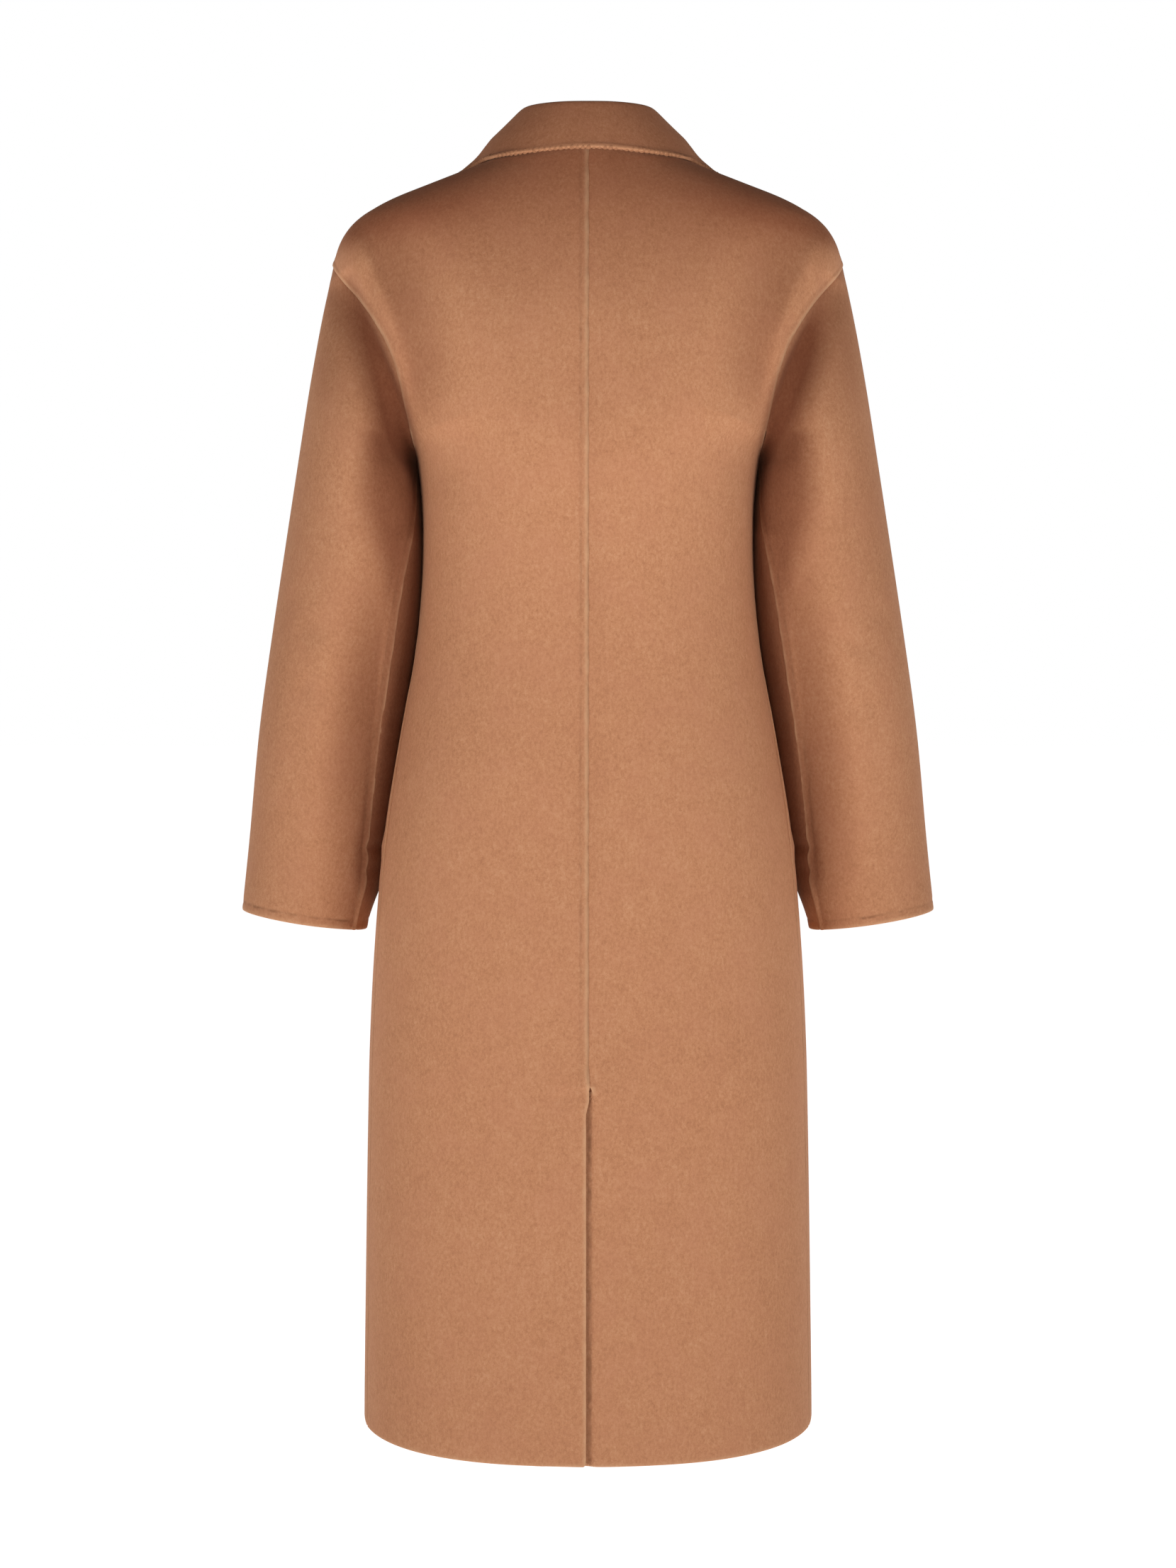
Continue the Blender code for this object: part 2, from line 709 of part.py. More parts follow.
def above(tree, point, clear):
    # lift a point until it clears the cloth below it
    high = Vector((point[0], point[1], LIFT_FROM))
    hit = tree.ray_cast(high, Vector((0.0, 0.0, -1.0)))
    if hit[0] is None:
        return point
    tilt = max(LIFT_TILT, abs(hit[1].z))
    floor = hit[0].z + clear / tilt
    return np.array([point[0], point[1], max(point[2], floor)])


def collar_profile(neck, fold, edge, tree):
    # points from the neck seam up the stand, over the fold and down the fall
    out = unit((edge - fold) * (1.0, 1.0, 0.0))
    up = np.array([0.0, 0.0, 1.0])
    inner = fold - out * COLLAR_FOLD * 0.9 - up * COLLAR_FOLD
    outer = fold + out * COLLAR_FOLD - up * COLLAR_FOLD * 0.9
    points = [neck + (inner - neck) * k / STAND_STEPS for k in range(STAND_STEPS + 1)]
    points.append(fold)
    for k in range(FALL_STEPS + 1):
        share = k / FALL_STEPS
        place = outer + (edge - outer) * share + up * FALL_BOW * math.sin(math.pi * share)
        if k > 0:
            place = above(tree, place, COLLAR_CLEAR)
        points.append(place)
    return points


def on_front(rails, row, ahead, height):
    # a point above the front, with its normal and the way towards the roll line
    low = int(math.floor(row))
    share = row - low
    upper, upper_n = rails[low].at(-ahead)
    lower, lower_n = rails[low + 1].at(-ahead)
    normal = unit(upper_n * (1 - share) + lower_n * share)
    toward = unit(rails[low].at(-ahead - 1.0)[0] - rails[low].at(-ahead + 1.0)[0])
    return upper * (1 - share) + lower * share + normal * height, normal, toward


def collar_stations(rails):
    stations = [(np.array(row[0:3]), np.array(row[3:6])) for row in COLLAR_BACK]
    for row in COLLAR_FRONT:
        edge = on_front(rails, row[3], -row[4], COLLAR_CLEAR)[0]
        stations.append((np.array(row[0:3]), edge))
    return stations


def gorge_profile(rails):
    # the collar's front end: over the roll line, along the gorge, then to its point
    near = GORGE_ROW - COLLAR_ROW_GAP
    turns = STAND_STEPS + 2
    stops = [(near, math.pi * k / turns, 0.0) for k in range(turns + 1)]
    for k in range(1, FALL_STEPS + 1):
        reach = COLLAR_TIP * k / FALL_STEPS
        beyond = max(0.0, (reach - COLLAR_GORGE) / (COLLAR_TIP - COLLAR_GORGE))
        stops.append((near - (near - COLLAR_TIP_ROW) * beyond, math.pi, reach))
    points = []
    walls = []
    for row, angle, reach in stops:
        ahead = FOLD_RADIUS * math.sin(angle) + SEAM_GAP - reach
        height = FOLD_RADIUS * (1.0 - math.cos(angle))
        place, normal, toward = on_front(rails, row, ahead, height)
        points.append(place)
        walls.append(CLOTH * (math.sin(angle) * toward - math.cos(angle) * normal))
    return points, walls


def settle(half, tree):
    # raise the fall wherever a cell would touch the cloth between its corners
    first = STAND_STEPS + 2
    sewn = STAND_STEPS + 2 + int(round(FALL_STEPS * COLLAR_GORGE / COLLAR_TIP))
    places = [k / (SETTLE_MARKS - 1) for k in range(SETTLE_MARKS)]
    for _ in range(SETTLE_ROUNDS):
        lift = np.zeros(half.shape[:2])
        for r in range(len(half) - 1):
            for c in range(first, half.shape[1] - 1):
                corners = [(r, c), (r + 1, c), (r, c + 1), (r + 1, c + 1)]
                for u in places:
                    for v in places:
                        shares = [(1 - u) * (1 - v), u * (1 - v), (1 - u) * v, u * v]
                        place = sum(half[k] * w for k, w in zip(corners, shares))
                        rise = above(tree, place, COLLAR_LOW)[2] - place[2]
                        for k, w in zip(corners, shares):
                            if w > 0.1:
                                lift[k] = max(lift[k], rise)
        lift[-1, :sewn + 1] = 0.0
        half[:, :, 2] += lift
    return half


def build_collar(back, front, rails, tree, neck_vectors):
    seam = [back[0, c] for c in range(NECK_COLUMNS + 1)]
    seam += [front[0, c] for c in range(FRONT_NECK_COLUMNS - 1, -1, -1)]
    seam += [front[1, 0], 0.5 * (front[1, 0] + front[2, 0])]
    stations = []
    for k, (fold, edge) in enumerate(collar_stations(rails)):
        neck = seam[k] + neck_vectors[k]["lift"] * SEAM_GAP
        stations.append(collar_profile(neck, fold, edge, tree))
    end, end_walls = gorge_profile(rails)
    stations.append(end)
    half = settle(np.array(stations), tree)
    whole = np.concatenate([half[:0:-1] * (-1.0, 1.0, 1.0), half])
    normals = grid_normals(whole)
    vectors = normals * CLOTH
    middle = len(half) - 1
    vectors[-1] = np.array(end_walls)
    vectors[0] = np.array(end_walls) * (-1.0, 1.0, 1.0)
    for k, item in enumerate(neck_vectors):
        vectors[middle + k, 0] = item["wall"]
        vectors[middle - k, 0] = item["wall"] * (-1.0, 1.0, 1.0)
    outer = as_points(whole)
    cells = grid_cells(whole.shape[0], whole.shape[1])
    return wall("collar", outer, {k: vectors[k] for k in outer}, cells, WOOL, WOOL_ROUGHNESS)


# Buttons

def build_button(name, level):
    bm = bmesh.new()
    height = BUTTON_THICK
    ring = [bm.verts.new((r * BUTTON_RADIUS * MM, 0.0, h * height * MM))
            for r, h in BUTTON_PROFILE]
    edges = [bm.edges.new((a, b)) for a, b in zip(ring, ring[1:])]
    bmesh.ops.spin(bm, geom=ring + edges, cent=(0, 0, 0), axis=(0, 0, 1),
                   angle=2.0 * math.pi, steps=BUTTON_SIDES, use_duplicate=False)
    bmesh.ops.remove_doubles(bm, verts=bm.verts, dist=1e-6)
    bmesh.ops.recalc_face_normals(bm, faces=bm.faces)
    mesh = bpy.data.meshes.new(name)
    bm.to_mesh(mesh)
    bm.free()
    button = finish(name, mesh, HORN, HORN_ROUGHNESS)
    cutter = hole_cutter(name)
    cut = button.modifiers.new("holes", "BOOLEAN")
    cut.operation = "DIFFERENCE"
    cut.object = cutter
    face = body(-90.0, level)
    lower = body(-90.0, level - 20.0)
    slope = math.atan2(face[1] - lower[1], 20.0)
    place = Vector((0.0, face[1] - BUTTON_SEAT, level)) * MM
    for obj in (button, cutter):
        obj.location = place
        obj.rotation_euler = (math.pi / 2.0 - slope, 0.0, 0.0)
    return button


def hole_cutter(name):
    bm = bmesh.new()
    for k in range(4):
        turn = math.pi / 4.0 + k * math.pi / 2.0
        made = bmesh.ops.create_cone(bm, cap_ends=True, segments=8, radius1=BUTTON_HOLE * MM,
                                     radius2=BUTTON_HOLE * MM, depth=BUTTON_THICK * 3.0 * MM)
        shift = Vector((math.cos(turn), math.sin(turn), 0.0)) * BUTTON_HOLE_RING * MM
        bmesh.ops.translate(bm, verts=made["verts"], vec=shift)
    mesh = bpy.data.meshes.new(name + "_cutter")
    bm.to_mesh(mesh)
    bm.free()
    cutter = bpy.data.objects.new(name + "_cutter", mesh)
    bpy.context.collection.objects.link(cutter)
    cutter.hide_render = True
    cutter.display_type = "WIRE"
    return cutter


# The whole coat

def build_coat():
    for obj in list(bpy.data.objects):
        bpy.data.objects.remove(obj)

    back, back_n = back_grid()
    front, front_n = front_grid()
    neck = NECK_COLUMNS
    front_neck = FRONT_NECK_COLUMNS

    # sleeves grow out of the armhole and share its directions
    ring = armhole_ring(back, front)
    sleeve, seam_back, seam_front = sleeve_grid(ring)
    sleeve_n = ring_normals(sleeve)
    for c in range(len(ring)):
        if c <= BACK_ROWS:
            place = (back_n, c)
        else:
            place = (front_n, len(ring) - c)
        shared = unit(sleeve_n[0, c] + place[0][place[1], -1])
        sleeve_n[0, c] = shared
        place[0][place[1], -1] = shared
    front_n[0, -1] = back_n[0, -1]
    front_n[FRONT_ROWS, -1] = back_n[BACK_ROWS, -1]

    # the neck seam turns up into the collar's stand
    stations = collar_stations(front_rails(front, front_n))
    neck_vectors = []
    neckline = [(back_n, back, 0, c) for c in range(neck + 1)]
    neckline += [(front_n, front, 0, c) for c in range(front_neck - 1, -1, -1)]
    neckline += [(front_n, front, 1, 0)]
    for k, (normals, grid, r, c) in enumerate(neckline):
        fold, edge = stations[k]
        stand = unit(fold - grid[r, c])
        out = unit(edge - fold)
        face = unit(np.cross(np.cross(stand, out), stand))
        shared = unit(normals[r, c] + face)
        normals[r, c] = shared
        neck_vectors.append({"lift": stand, "wall": -shared * CLOTH})
    last = neck_vectors[-1]
    lower = 0.5 * (last["wall"] - front_n[2, 0] * CLOTH)
    neck_vectors.append({"lift": last["lift"] * NECK_END_GAP, "wall": lower})
    front_n[0, front_neck] = back_n[0, neck]

    half = 0.5 * SEAM_GAP
    back_cut = draw_in(draw_in(back, "first_column", half), "last_column", half)
    back_cut = draw_in(back_cut, "first_row", half)
    front_cut = draw_in(draw_in(front, "last_column", half), "first_row", half)
    for k, level in enumerate(LEVELS):
        if POCKET_BOTTOM < level < POCKET_TOP:
            front_cut[FRONT_ROWS + k, -1] += front_n[FRONT_ROWS + k, -1] * POCKET_LIFT

    build_back("back_left", back_cut, back_n, False, False)
    build_back("back_right", back_cut, back_n, True, True)
    build_front("front_left", front_cut, front_n, False, True)
    _, rails, _ = build_front("front_right", front_cut, front_n, True, False)
    body = [bpy.data.objects[n] for n in ("back_left", "front_left")]

    sleeve_cut = draw_in(sleeve, "first_row", half)
    count = len(ring)
    upper = list(range(seam_front, count)) + list(range(0, seam_back + 1))
    under = list(range(seam_back, seam_front + 1))
    for label, columns in (("upper", upper), ("under", under)):
        grid = sleeve_cut[:, columns]
        grid = draw_in(draw_in(grid, "first_column", half), "last_column", half)
        outer = as_points(grid)
        vectors = {(r, c): -sleeve_n[r, columns[c]] * CLOTH for r, c in outer}
        cells = grid_cells(grid.shape[0], grid.shape[1])
        wall(label + "_sleeve_left", outer, vectors, cells, WOOL, WOOL_ROUGHNESS)
        wall(label + "_sleeve_right", mirror(outer), mirror(vectors), cells,
             WOOL, WOOL_ROUGHNESS)

    build_collar(back, front, rails, tree_of(body), neck_vectors)
    for number, level in enumerate(BUTTON_LEVELS, start=1):
        build_button("button_%d" % number, level)


build_coat()
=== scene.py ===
import math
from collections import deque

import bmesh
import bpy
import numpy as np
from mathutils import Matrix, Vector
from mathutils.bvhtree import BVHTree
from mathutils.kdtree import KDTree


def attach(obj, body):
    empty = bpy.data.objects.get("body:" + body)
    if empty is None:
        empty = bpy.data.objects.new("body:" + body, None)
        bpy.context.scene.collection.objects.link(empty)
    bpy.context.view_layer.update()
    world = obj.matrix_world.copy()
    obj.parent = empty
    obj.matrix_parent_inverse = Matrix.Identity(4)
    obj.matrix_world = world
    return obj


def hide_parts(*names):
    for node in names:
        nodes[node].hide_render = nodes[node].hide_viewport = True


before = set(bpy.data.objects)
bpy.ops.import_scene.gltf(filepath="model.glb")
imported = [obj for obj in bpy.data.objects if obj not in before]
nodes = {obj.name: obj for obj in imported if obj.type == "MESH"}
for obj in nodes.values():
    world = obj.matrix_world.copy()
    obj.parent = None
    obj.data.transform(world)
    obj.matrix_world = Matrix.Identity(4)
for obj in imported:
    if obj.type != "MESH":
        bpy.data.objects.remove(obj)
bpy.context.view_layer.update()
scene = bpy.context.scene
mm = 0.001
white = (1.0, 1.0, 1.0, 1.0)


# Shader maths as plain expressions

class Socket:
    # wraps an output socket or a number, and adds Math nodes as it is used in sums

    def __init__(self, tree, value):
        self.tree = tree
        self.value = value

    def math(self, operation, *others, clamp=False):
        made = self.tree.nodes.new("ShaderNodeMath")
        made.operation = operation
        made.use_clamp = clamp
        for at, item in enumerate((self, *others)):
            item = item.value if isinstance(item, Socket) else item
            if isinstance(item, bpy.types.NodeSocket):
                self.tree.links.new(item, made.inputs[at])
            else:
                made.inputs[at].default_value = item
        return Socket(self.tree, made.outputs[0])

    def __add__(self, other): return self.math("ADD", other)
    def __radd__(self, other): return self.math("ADD", other)
    def __sub__(self, other): return self.math("SUBTRACT", other)
    def __rsub__(self, other): return Socket(self.tree, other).math("SUBTRACT", self)
    def __mul__(self, other): return self.math("MULTIPLY", other)
    def __rmul__(self, other): return self.math("MULTIPLY", other)
    def __truediv__(self, other): return self.math("DIVIDE", other)
    def __rtruediv__(self, other): return Socket(self.tree, other).math("DIVIDE", self)
    def __neg__(self): return self.math("MULTIPLY", -1.0)

    def clamp(self):
        return self.math("ADD", 0.0, clamp=True)

    def bell(self, centre, reach):
        # 1 at the centre, falling away to both sides
        off = (self - centre) / reach
        return Socket(self.tree, math.e).math("POWER", -(off * off))


class Nodes:
    # adds nodes to a tree from plain calls

    def node(self, kind, settings=(), inputs=(), out=0):
        made = self.tree.nodes.new(kind)
        for key, value in dict(settings).items():
            if key == "stops":
                ramp = made.color_ramp
                while len(ramp.elements) < len(value):
                    ramp.elements.new(1.0)
                for element, (place, colour) in zip(ramp.elements, value):
                    element.position = place
                    element.color = (*colour, 1.0)
            else:
                setattr(made, key, value)
        for key, value in dict(inputs).items():
            self.feed(made.inputs[key], value)
        return Socket(self.tree, made.outputs[out])

    def feed(self, socket, value):
        value = value.value if isinstance(value, Socket) else value
        if isinstance(value, bpy.types.NodeSocket):
            self.tree.links.new(value, socket)
        else:
            socket.default_value = value


class Finish(Nodes):
    # one material and the nodes in it

    def __init__(self, name):
        self.material = bpy.data.materials.new(name)
        self.material.use_nodes = True
        self.tree = self.material.node_tree
        self.shader = self.tree.nodes["Principled BSDF"]

    def attribute(self, name):
        return self.node("ShaderNodeAttribute", {"attribute_name": name}, out="Fac")

    def noise(self, place, scale, detail=2.0, rough=0.5, out=0):
        return self.node("ShaderNodeTexNoise", {},
                         {"Vector": place, "Scale": scale, "Detail": detail, "Roughness": rough}, out)

    def blend(self, share, low, high, how="MIX"):
        return self.node("ShaderNodeMix", {"data_type": "RGBA", "blend_type": how},
                         {0: share, 6: low, 7: high}, out=2)

    def set(self, **values):
        for key, value in values.items():
            self.feed(self.shader.inputs[key.replace("_", " ")], value)


# Cloth: each panel is its CAD solid, rounded and finer

panelLook = {
    "weld": 1e-6,  # metres within which the solid's corners are one point
    "gridPull": 1.7,  # how much a pair of triangles follows its neighbours
    "pairTurn": math.radians(80),
    "thickness": 2.4,  # mm
    "thicknessPlay": 0.9,  # mm by which the edge strip may differ from that
    "edgeTurn": math.radians(45),  # the least turn from the edge strip to either face
    "opposite": -0.6,  # how far the faces on both sides of the strip look apart
    "edgeRound": 0.7,  # mm
    "levels": {"back": 3, "front": 2, "collar": 3, "upper_sleeve": 3, "under_sleeve": 3},
    "seamReach": 1.6,  # mm to the next panel along a seam
    "step": 2.0,  # mm between marks along an edge
}


def pairTriangles(bm):
    # which two triangles make each cell of the panel's grid
    trial = bm.copy()
    bmesh.ops.join_triangles(
        trial, faces=trial.faces, angle_face_threshold=panelLook["pairTurn"],
        angle_shape_threshold=math.pi, topology_influence=panelLook["gridPull"])
    kept = {tuple(sorted(v.index for v in edge.verts)) for edge in trial.edges}
    trial.free()
    mates = {}
    near = {face: [] for face in bm.faces}
    for edge in bm.edges:
        one, two = edge.link_faces
        if one.normal.angle(two.normal, math.pi) < panelLook["pairTurn"]:
            near[one].append((two, edge))
            near[two].append((one, edge))
        if tuple(sorted(v.index for v in edge.verts)) not in kept:
            mates[one] = (two, edge)
            mates[two] = (one, edge)
    for root in [face for face in bm.faces if face not in mates]:
        if root not in mates:
            shiftPairs(root, near, mates)
    return {edge for _, edge in mates.values()}


def shiftPairs(root, near, mates):
    # two triangles left alone in a strip are paired by shifting the pairs between them
    came = {root: None}
    waiting = deque([root])
    found = None
    while waiting and found is None:
        face = waiting.popleft()
        for other, edge in near[face]:
            if other in came:
                continue
            if other not in mates:
                came[other] = (face, edge)
                found = other
                break
            beyond = mates[other][0]
            if beyond not in came:
                came[other] = (face, edge)
                came[beyond] = (other, None)
                waiting.append(beyond)
    while found is not None and came[found] is not None:
        face, edge = came[found]
        mates[found] = (face, edge)
        mates[face] = (found, edge)
        found = came[face][0] if came[face] else None


def gridOf(node):
    bm = bmesh.new()
    bm.from_mesh(node.data)
    bmesh.ops.remove_doubles(bm, verts=bm.verts, dist=panelLook["weld"])
    bm.verts.index_update()
    bm.edges.index_update()
    inner = sorted(pairTriangles(bm), key=lambda edge: edge.index)
    bmesh.ops.dissolve_edges(bm, edges=inner, use_verts=False)
    bm.edges.index_update()
    bm.faces.index_update()
    bm.normal_update()
    return bm


def otherFace(edge, face):
    return next(item for item in edge.link_faces if item is not face)


def isStrip(face):
    # a cell of the narrow strip that closes the cloth's thickness along its edge
    if len(face.verts) != 4:
        return False
    around = [loop.edge for loop in face.loops]
    for k in (0, 1):
        long = around[k], around[k + 2]
        short = around[1 - k], around[3 - k]
        slack = max(abs(edge.calc_length() / mm - panelLook["thickness"]) for edge in short)
        turn = min(edge.calc_face_angle_signed(0.0) for edge in long)
        sides = [otherFace(edge, face).normal for edge in long]
        apart = sides[0].dot(sides[1]) < panelLook["opposite"]
        if slack < panelLook["thicknessPlay"] and turn > panelLook["edgeTurn"] and apart:
            return True
    return False


def rimsOf(bm):
    # the edge strip's cells, and the edges that part them from the two faces of the cloth
    strip = {face for face in bm.faces if isStrip(face)}
    corners = {vert for face in strip for vert in face.verts}
    rims = set()
    for edge in bm.edges:
        count = sum(face in strip for face in edge.link_faces)
        sharp = edge.calc_face_angle(0.0) > panelLook["edgeTurn"]
        if count == 1 or (sharp and all(vert in corners for vert in edge.verts)):
            rims.add(edge)
    return strip, rims


def rimMarks(bm):
    # marks along the cloth's edges: place, surface normal, and the way into the panel
    strip, rims = rimsOf(bm)
    marks = []
    for edge in rims:
        thin, wide = sorted(edge.link_faces, key=lambda face: face not in strip)
        a, b = (vert.co / mm for vert in edge.verts)
        count = max(1, round((b - a).length / panelLook["step"]))
        for k in range(count):
            marks.append((*a.lerp(b, (k + 0.5) / count), *wide.normal, *(-thin.normal)))
    return np.array(sorted(marks))


def rimLine(bm):
    # the middle of the edge strip in order, with the way out of the panel and the cloth's face
    strip, _ = rimsOf(bm)
    beside = {face: [otherFace(edge, face) for edge in face.edges if otherFace(edge, face) in strip]
              for face in strip}
    ends = [face for face in beside if len(beside[face]) == 1] or list(beside)
    start = min(ends, key=lambda face: face.index)
    line = [start]
    seen = {start}
    while True:
        nextOnes = [face for face in beside[line[-1]] if face not in seen]
        if not nextOnes:
            break
        line.append(min(nextOnes, key=lambda face: face.index))
        seen.add(line[-1])
    rows = []
    for one, two in zip(line, line[1:] + line[:1]):
        shared = [edge for edge in one.edges if two in edge.link_faces]
        if shared and one is not two:
            a, b = (vert.co / mm for vert in shared[0].verts)
            wide = []
            for face in (one, two):
                around = [otherFace(edge, face) for edge in face.edges]
                wide.append(max(around, key=lambda item: item.calc_area()).normal)
            rows.append((*a.lerp(b, 0.5), *(one.normal + two.normal).normalized(),
                         *(wide[0] + wide[1]).normalized()))
    return np.array(rows)


def treeOf(points):
    tree = KDTree(len(points))
    for at, point in enumerate(points):
        tree.insert(point, at)
    tree.balance()
    return tree


def distances(points, targets):
    tree = treeOf(targets)
    return np.array([tree.find(point)[2] for point in points])


def partners(marks):
    # for each mark, the panel that is sewn to that edge, or "" where the edge is free
    trees = {name: treeOf(rows[:, :3]) for name, rows in marks.items()}
    sewn = {}
    for name, rows in marks.items():
        found = []
        for row in rows:
            best = ("", panelLook["seamReach"])
            for other, tree in trees.items():
                if other != name:
                    gap = tree.find(row[:3])[2]
                    if gap < best[1]:
                        best = (other, gap)
            found.append(best[0])
        sewn[name] = np.array(found)
    return sewn


def finerMesh(bm, name, levels):
    rims = sorted(rimsOf(bm)[1], key=lambda edge: edge.index)
    bmesh.ops.bevel(bm, geom=rims, offset=panelLook["edgeRound"] * mm, offset_type="OFFSET",
                    segments=1, profile=0.5, affect="EDGES", clamp_overlap=True)
    rough = bpy.data.meshes.new(name + "_grid")
    bm.to_mesh(rough)
    bm.free()
    holder = bpy.data.objects.new(name + "_grid", rough)
    scene.collection.objects.link(holder)
    finer = holder.modifiers.new("finer", "SUBSURF")
    finer.levels = levels
    finer.render_levels = levels
    shown = holder.evaluated_get(bpy.context.evaluated_depsgraph_get())
    mesh = bpy.data.meshes.new_from_object(shown)
    bpy.data.objects.remove(holder)
    mesh.name = name
    return mesh


def pointsOf(mesh, key):
    flat = np.empty(len(mesh.vertices) * 3)
    mesh.vertices.foreach_get(key, flat)
    return flat.reshape(-1, 3)


def placesOf(mesh):
    return pointsOf(mesh, "co") / mm


def setPlaces(mesh, places):
    mesh.vertices.foreach_set("co", (places * mm).ravel())
    mesh.update()


def storeValue(mesh, name, values):
    made = mesh.attributes.new(name, "FLOAT", "POINT")
    made.data.foreach_set("value", np.asarray(values, np.float32))


def bell(offset):
    return np.exp(-offset * offset)


def ease(value, start=0.0, full=1.0):
    # 0 at the start, 1 where it is full, and smooth between them
    share = np.clip((value - start) / (full - start), 0.0, 1.0)
    return share * share * (3.0 - 2.0 * share)


def wave(places, turns):
    # a sine that turns so fast along x, y and z, with its phase last
    return np.sin(places @ np.array(turns[:3]) + turns[3])


# Creases and drape, in millimetres, the same for every panel so that the seams stay shut. Each
# crease runs from a start to an end, seen from behind or from in front. Its depth is negative for
# a trough, and its width differs on the side of the coat's middle and on the outer side. A line
# holds the one on the left and the one on the right, which aren't quite alike.

drape = {
    "behind": (
        # xStart, zStart, xEnd, zEnd, widthIn, widthOut, depth, bow, uneven
        (205, -118, 148, -318, 7.5, 23, -22, -13, 0.10), (-205, -121, -148, -314, 7.5, 23, -21.4, 13, 0.12),
        (166, -330, 206, -668, 6, 28, -10, 3, 0.12), (-166, -326, -206, -668, 6, 28, -9.5, -3, 0.12),
        (188, -70, 141, -236, 36, 11.5, -9.2, -9, 0.12), (-188, -72, -141, -232, 36, 11.5, -8.7, 9, 0.12),
        (233, -160, 193, -300, 20, 20, 2.2, 6, 0.1), (-233, -158, -194, -305, 20, 20, 2.1, -6, 0.1),
        (188, -106, 161, -176, 3.6, 5, -1.5, 3, 0.3), (-187, -110, -161, -172, 3.6, 5, -1.3, -3, 0.3),
        (176, -112, 148, -190, 7, 6, 1, 3, 0.2), (-176, -114, -148, -186, 7, 6, 0.9, -3, 0.2),
        (153, -236, 141, -253, 2.6, 3, -1.5, 1.5, 0.2), (-153, -240, -142, -254, 2.6, 3, -1.2, -1.5, 0.2),
        (158, -232, 147, -247, 3.2, 3.2, 0.9, 1.5, 0.2),
        (150, -252, 96, -305, 16, 16, -1.5, 6, 0.4), (-149, -254, -100, -300, 15, 15, -1.3, -5, 0.4),
        (13, -795, 29, -802, 4.5, 4.5, -0.8, 0, 0.3), (-3, -776, -9, -790, 3.5, 3.5, -0.7, 0, 0.3),
        (84, -560, 96, -1060, 46, 46, -1.3, 6, 0.2), (-88, -590, -92, -1060, 44, 44, -1.1, -5, 0.2),
        (0, -90, 0, -760, 26, 26, -2.6, 0, 0.1),
        (258, -380, 226, -420, 15, 15, -1.5, 5, 0.3), (-256, -388, -228, -432, 15, 15, -1.3, -5, 0.3),
        (246, -455, 222, -470, 12, 12, -1, 3, 0.3), (-244, -470, -222, -482, 11, 11, -0.9, -3, 0.3),
        (235, -330, 252, -640, 13, 13, -0.9, 3, 0.2), (-235, -340, -253, -630, 13, 13, -0.8, -3, 0.2),
    ),
    "inFront": (
        (204, -122, 148, -306, 6.5, 22, -13, -12, 0.12), (-204, -119, -148, -310, 6.5, 22, -13.6, 12, 0.10),
        (182, -112, 158, -180, 4, 5, -1.3, 3, 0.3), (-183, -108, -158, -176, 4, 5, -1.4, -3, 0.3),
        (120, -300, 52, -430, 18, 18, -1.6, 10, 0.4), (-114, -310, -50, -436, 17, 17, -1.5, -9, 0.4),
        (98, -520, 32, -470, 12, 12, -0.9, 3, 0.5), (-94, -530, -30, -468, 12, 12, -0.9, -3, 0.5),
        (86, -640, 30, -606, 11, 11, -0.7, 3, 0.5), (-84, -650, -28, -606, 11, 11, -0.7, -3, 0.5),
        (92, -700, 104, -1060, 44, 44, -1.6, 6, 0.2), (-90, -690, -100, -1060, 42, 42, -1.5, -6, 0.2),
        (264, -392, 226, -428, 14, 14, -1.9, 6, 0.3), (-262, -398, -226, -436, 14, 14, -1.8, -6, 0.3),
        (258, -440, 224, -462, 11, 11, -1.4, 4, 0.3), (-256, -446, -224, -470, 11, 11, -1.3, -4, 0.3),
    ),
    "change": (-30.0, 30.0),  # y over which the creases in front give way to those behind
    "lead": 0.05,  # how far along its swell a crease already starts
    "blunt": 0.6,  # how soon it has its depth from there
    "beat": (9.0, 0.1),  # how its depth varies along it, and from one to the next
    "flutter": 0.32,  # small unevenness all over, as pairs of waves
    "waves": (
        (1.0, (0.031, 0.0, 0.012, 1.0), (-0.008, 0.0, 0.023, 0.0)),
        (0.6, (0.067, 0.0, -0.031, 0.0), (0.0, 0.045, 0.011, 0.0)),
    ),
    "hollow": (1.6, 16.5),  # mm of depth over which a trough is painted darker, as painted shade
}

pocketNubs = {
    # the ends of the pockets in the side seams push the seams out a little
    "levels": (-600.0, -621.0),
    "tall": 5.0,
    "at": 20.0,  # y of their middle
    "deep": 22.0,
    "out": 1.3,
    "from": (120.0, 140.0),  # mm from the coat's middle where they begin and where they end
    "to": (205.0, 195.0),
}


def creaseLift(x, z, rows):
    lift = np.zeros(len(x))
    for xStart, zStart, xEnd, zEnd, widthIn, widthOut, depth, bow, uneven in rows:
        alongX = xEnd - xStart
        alongZ = zEnd - zStart
        run = math.hypot(alongX, alongZ)
        share = ((x - xStart) * alongX + (z - zStart) * alongZ) / run ** 2
        off = ((x - xStart) * alongZ - (z - zStart) * alongX) / run
        inside = np.clip(share, 0.0, 1.0)
        off = off + bow * np.sin(math.pi * inside)
        outer = off * math.copysign(1.0, xStart + xEnd) * math.copysign(1.0, alongZ) > 0.0
        width = np.where(outer, widthOut, widthIn)
        stage = np.clip(share * (1.0 - 2.0 * drape["lead"]) + drape["lead"], 0.0, 1.0)
        swell = np.sin(math.pi * stage) ** drape["blunt"]
        ragged = 1.0 + uneven * np.sin(share * drape["beat"][0] + xStart * drape["beat"][1])
        past = (share - inside) * run / (0.5 * (widthIn + widthOut))
        lift += depth * ragged * swell * bell(off / width) * bell(past)
    return lift


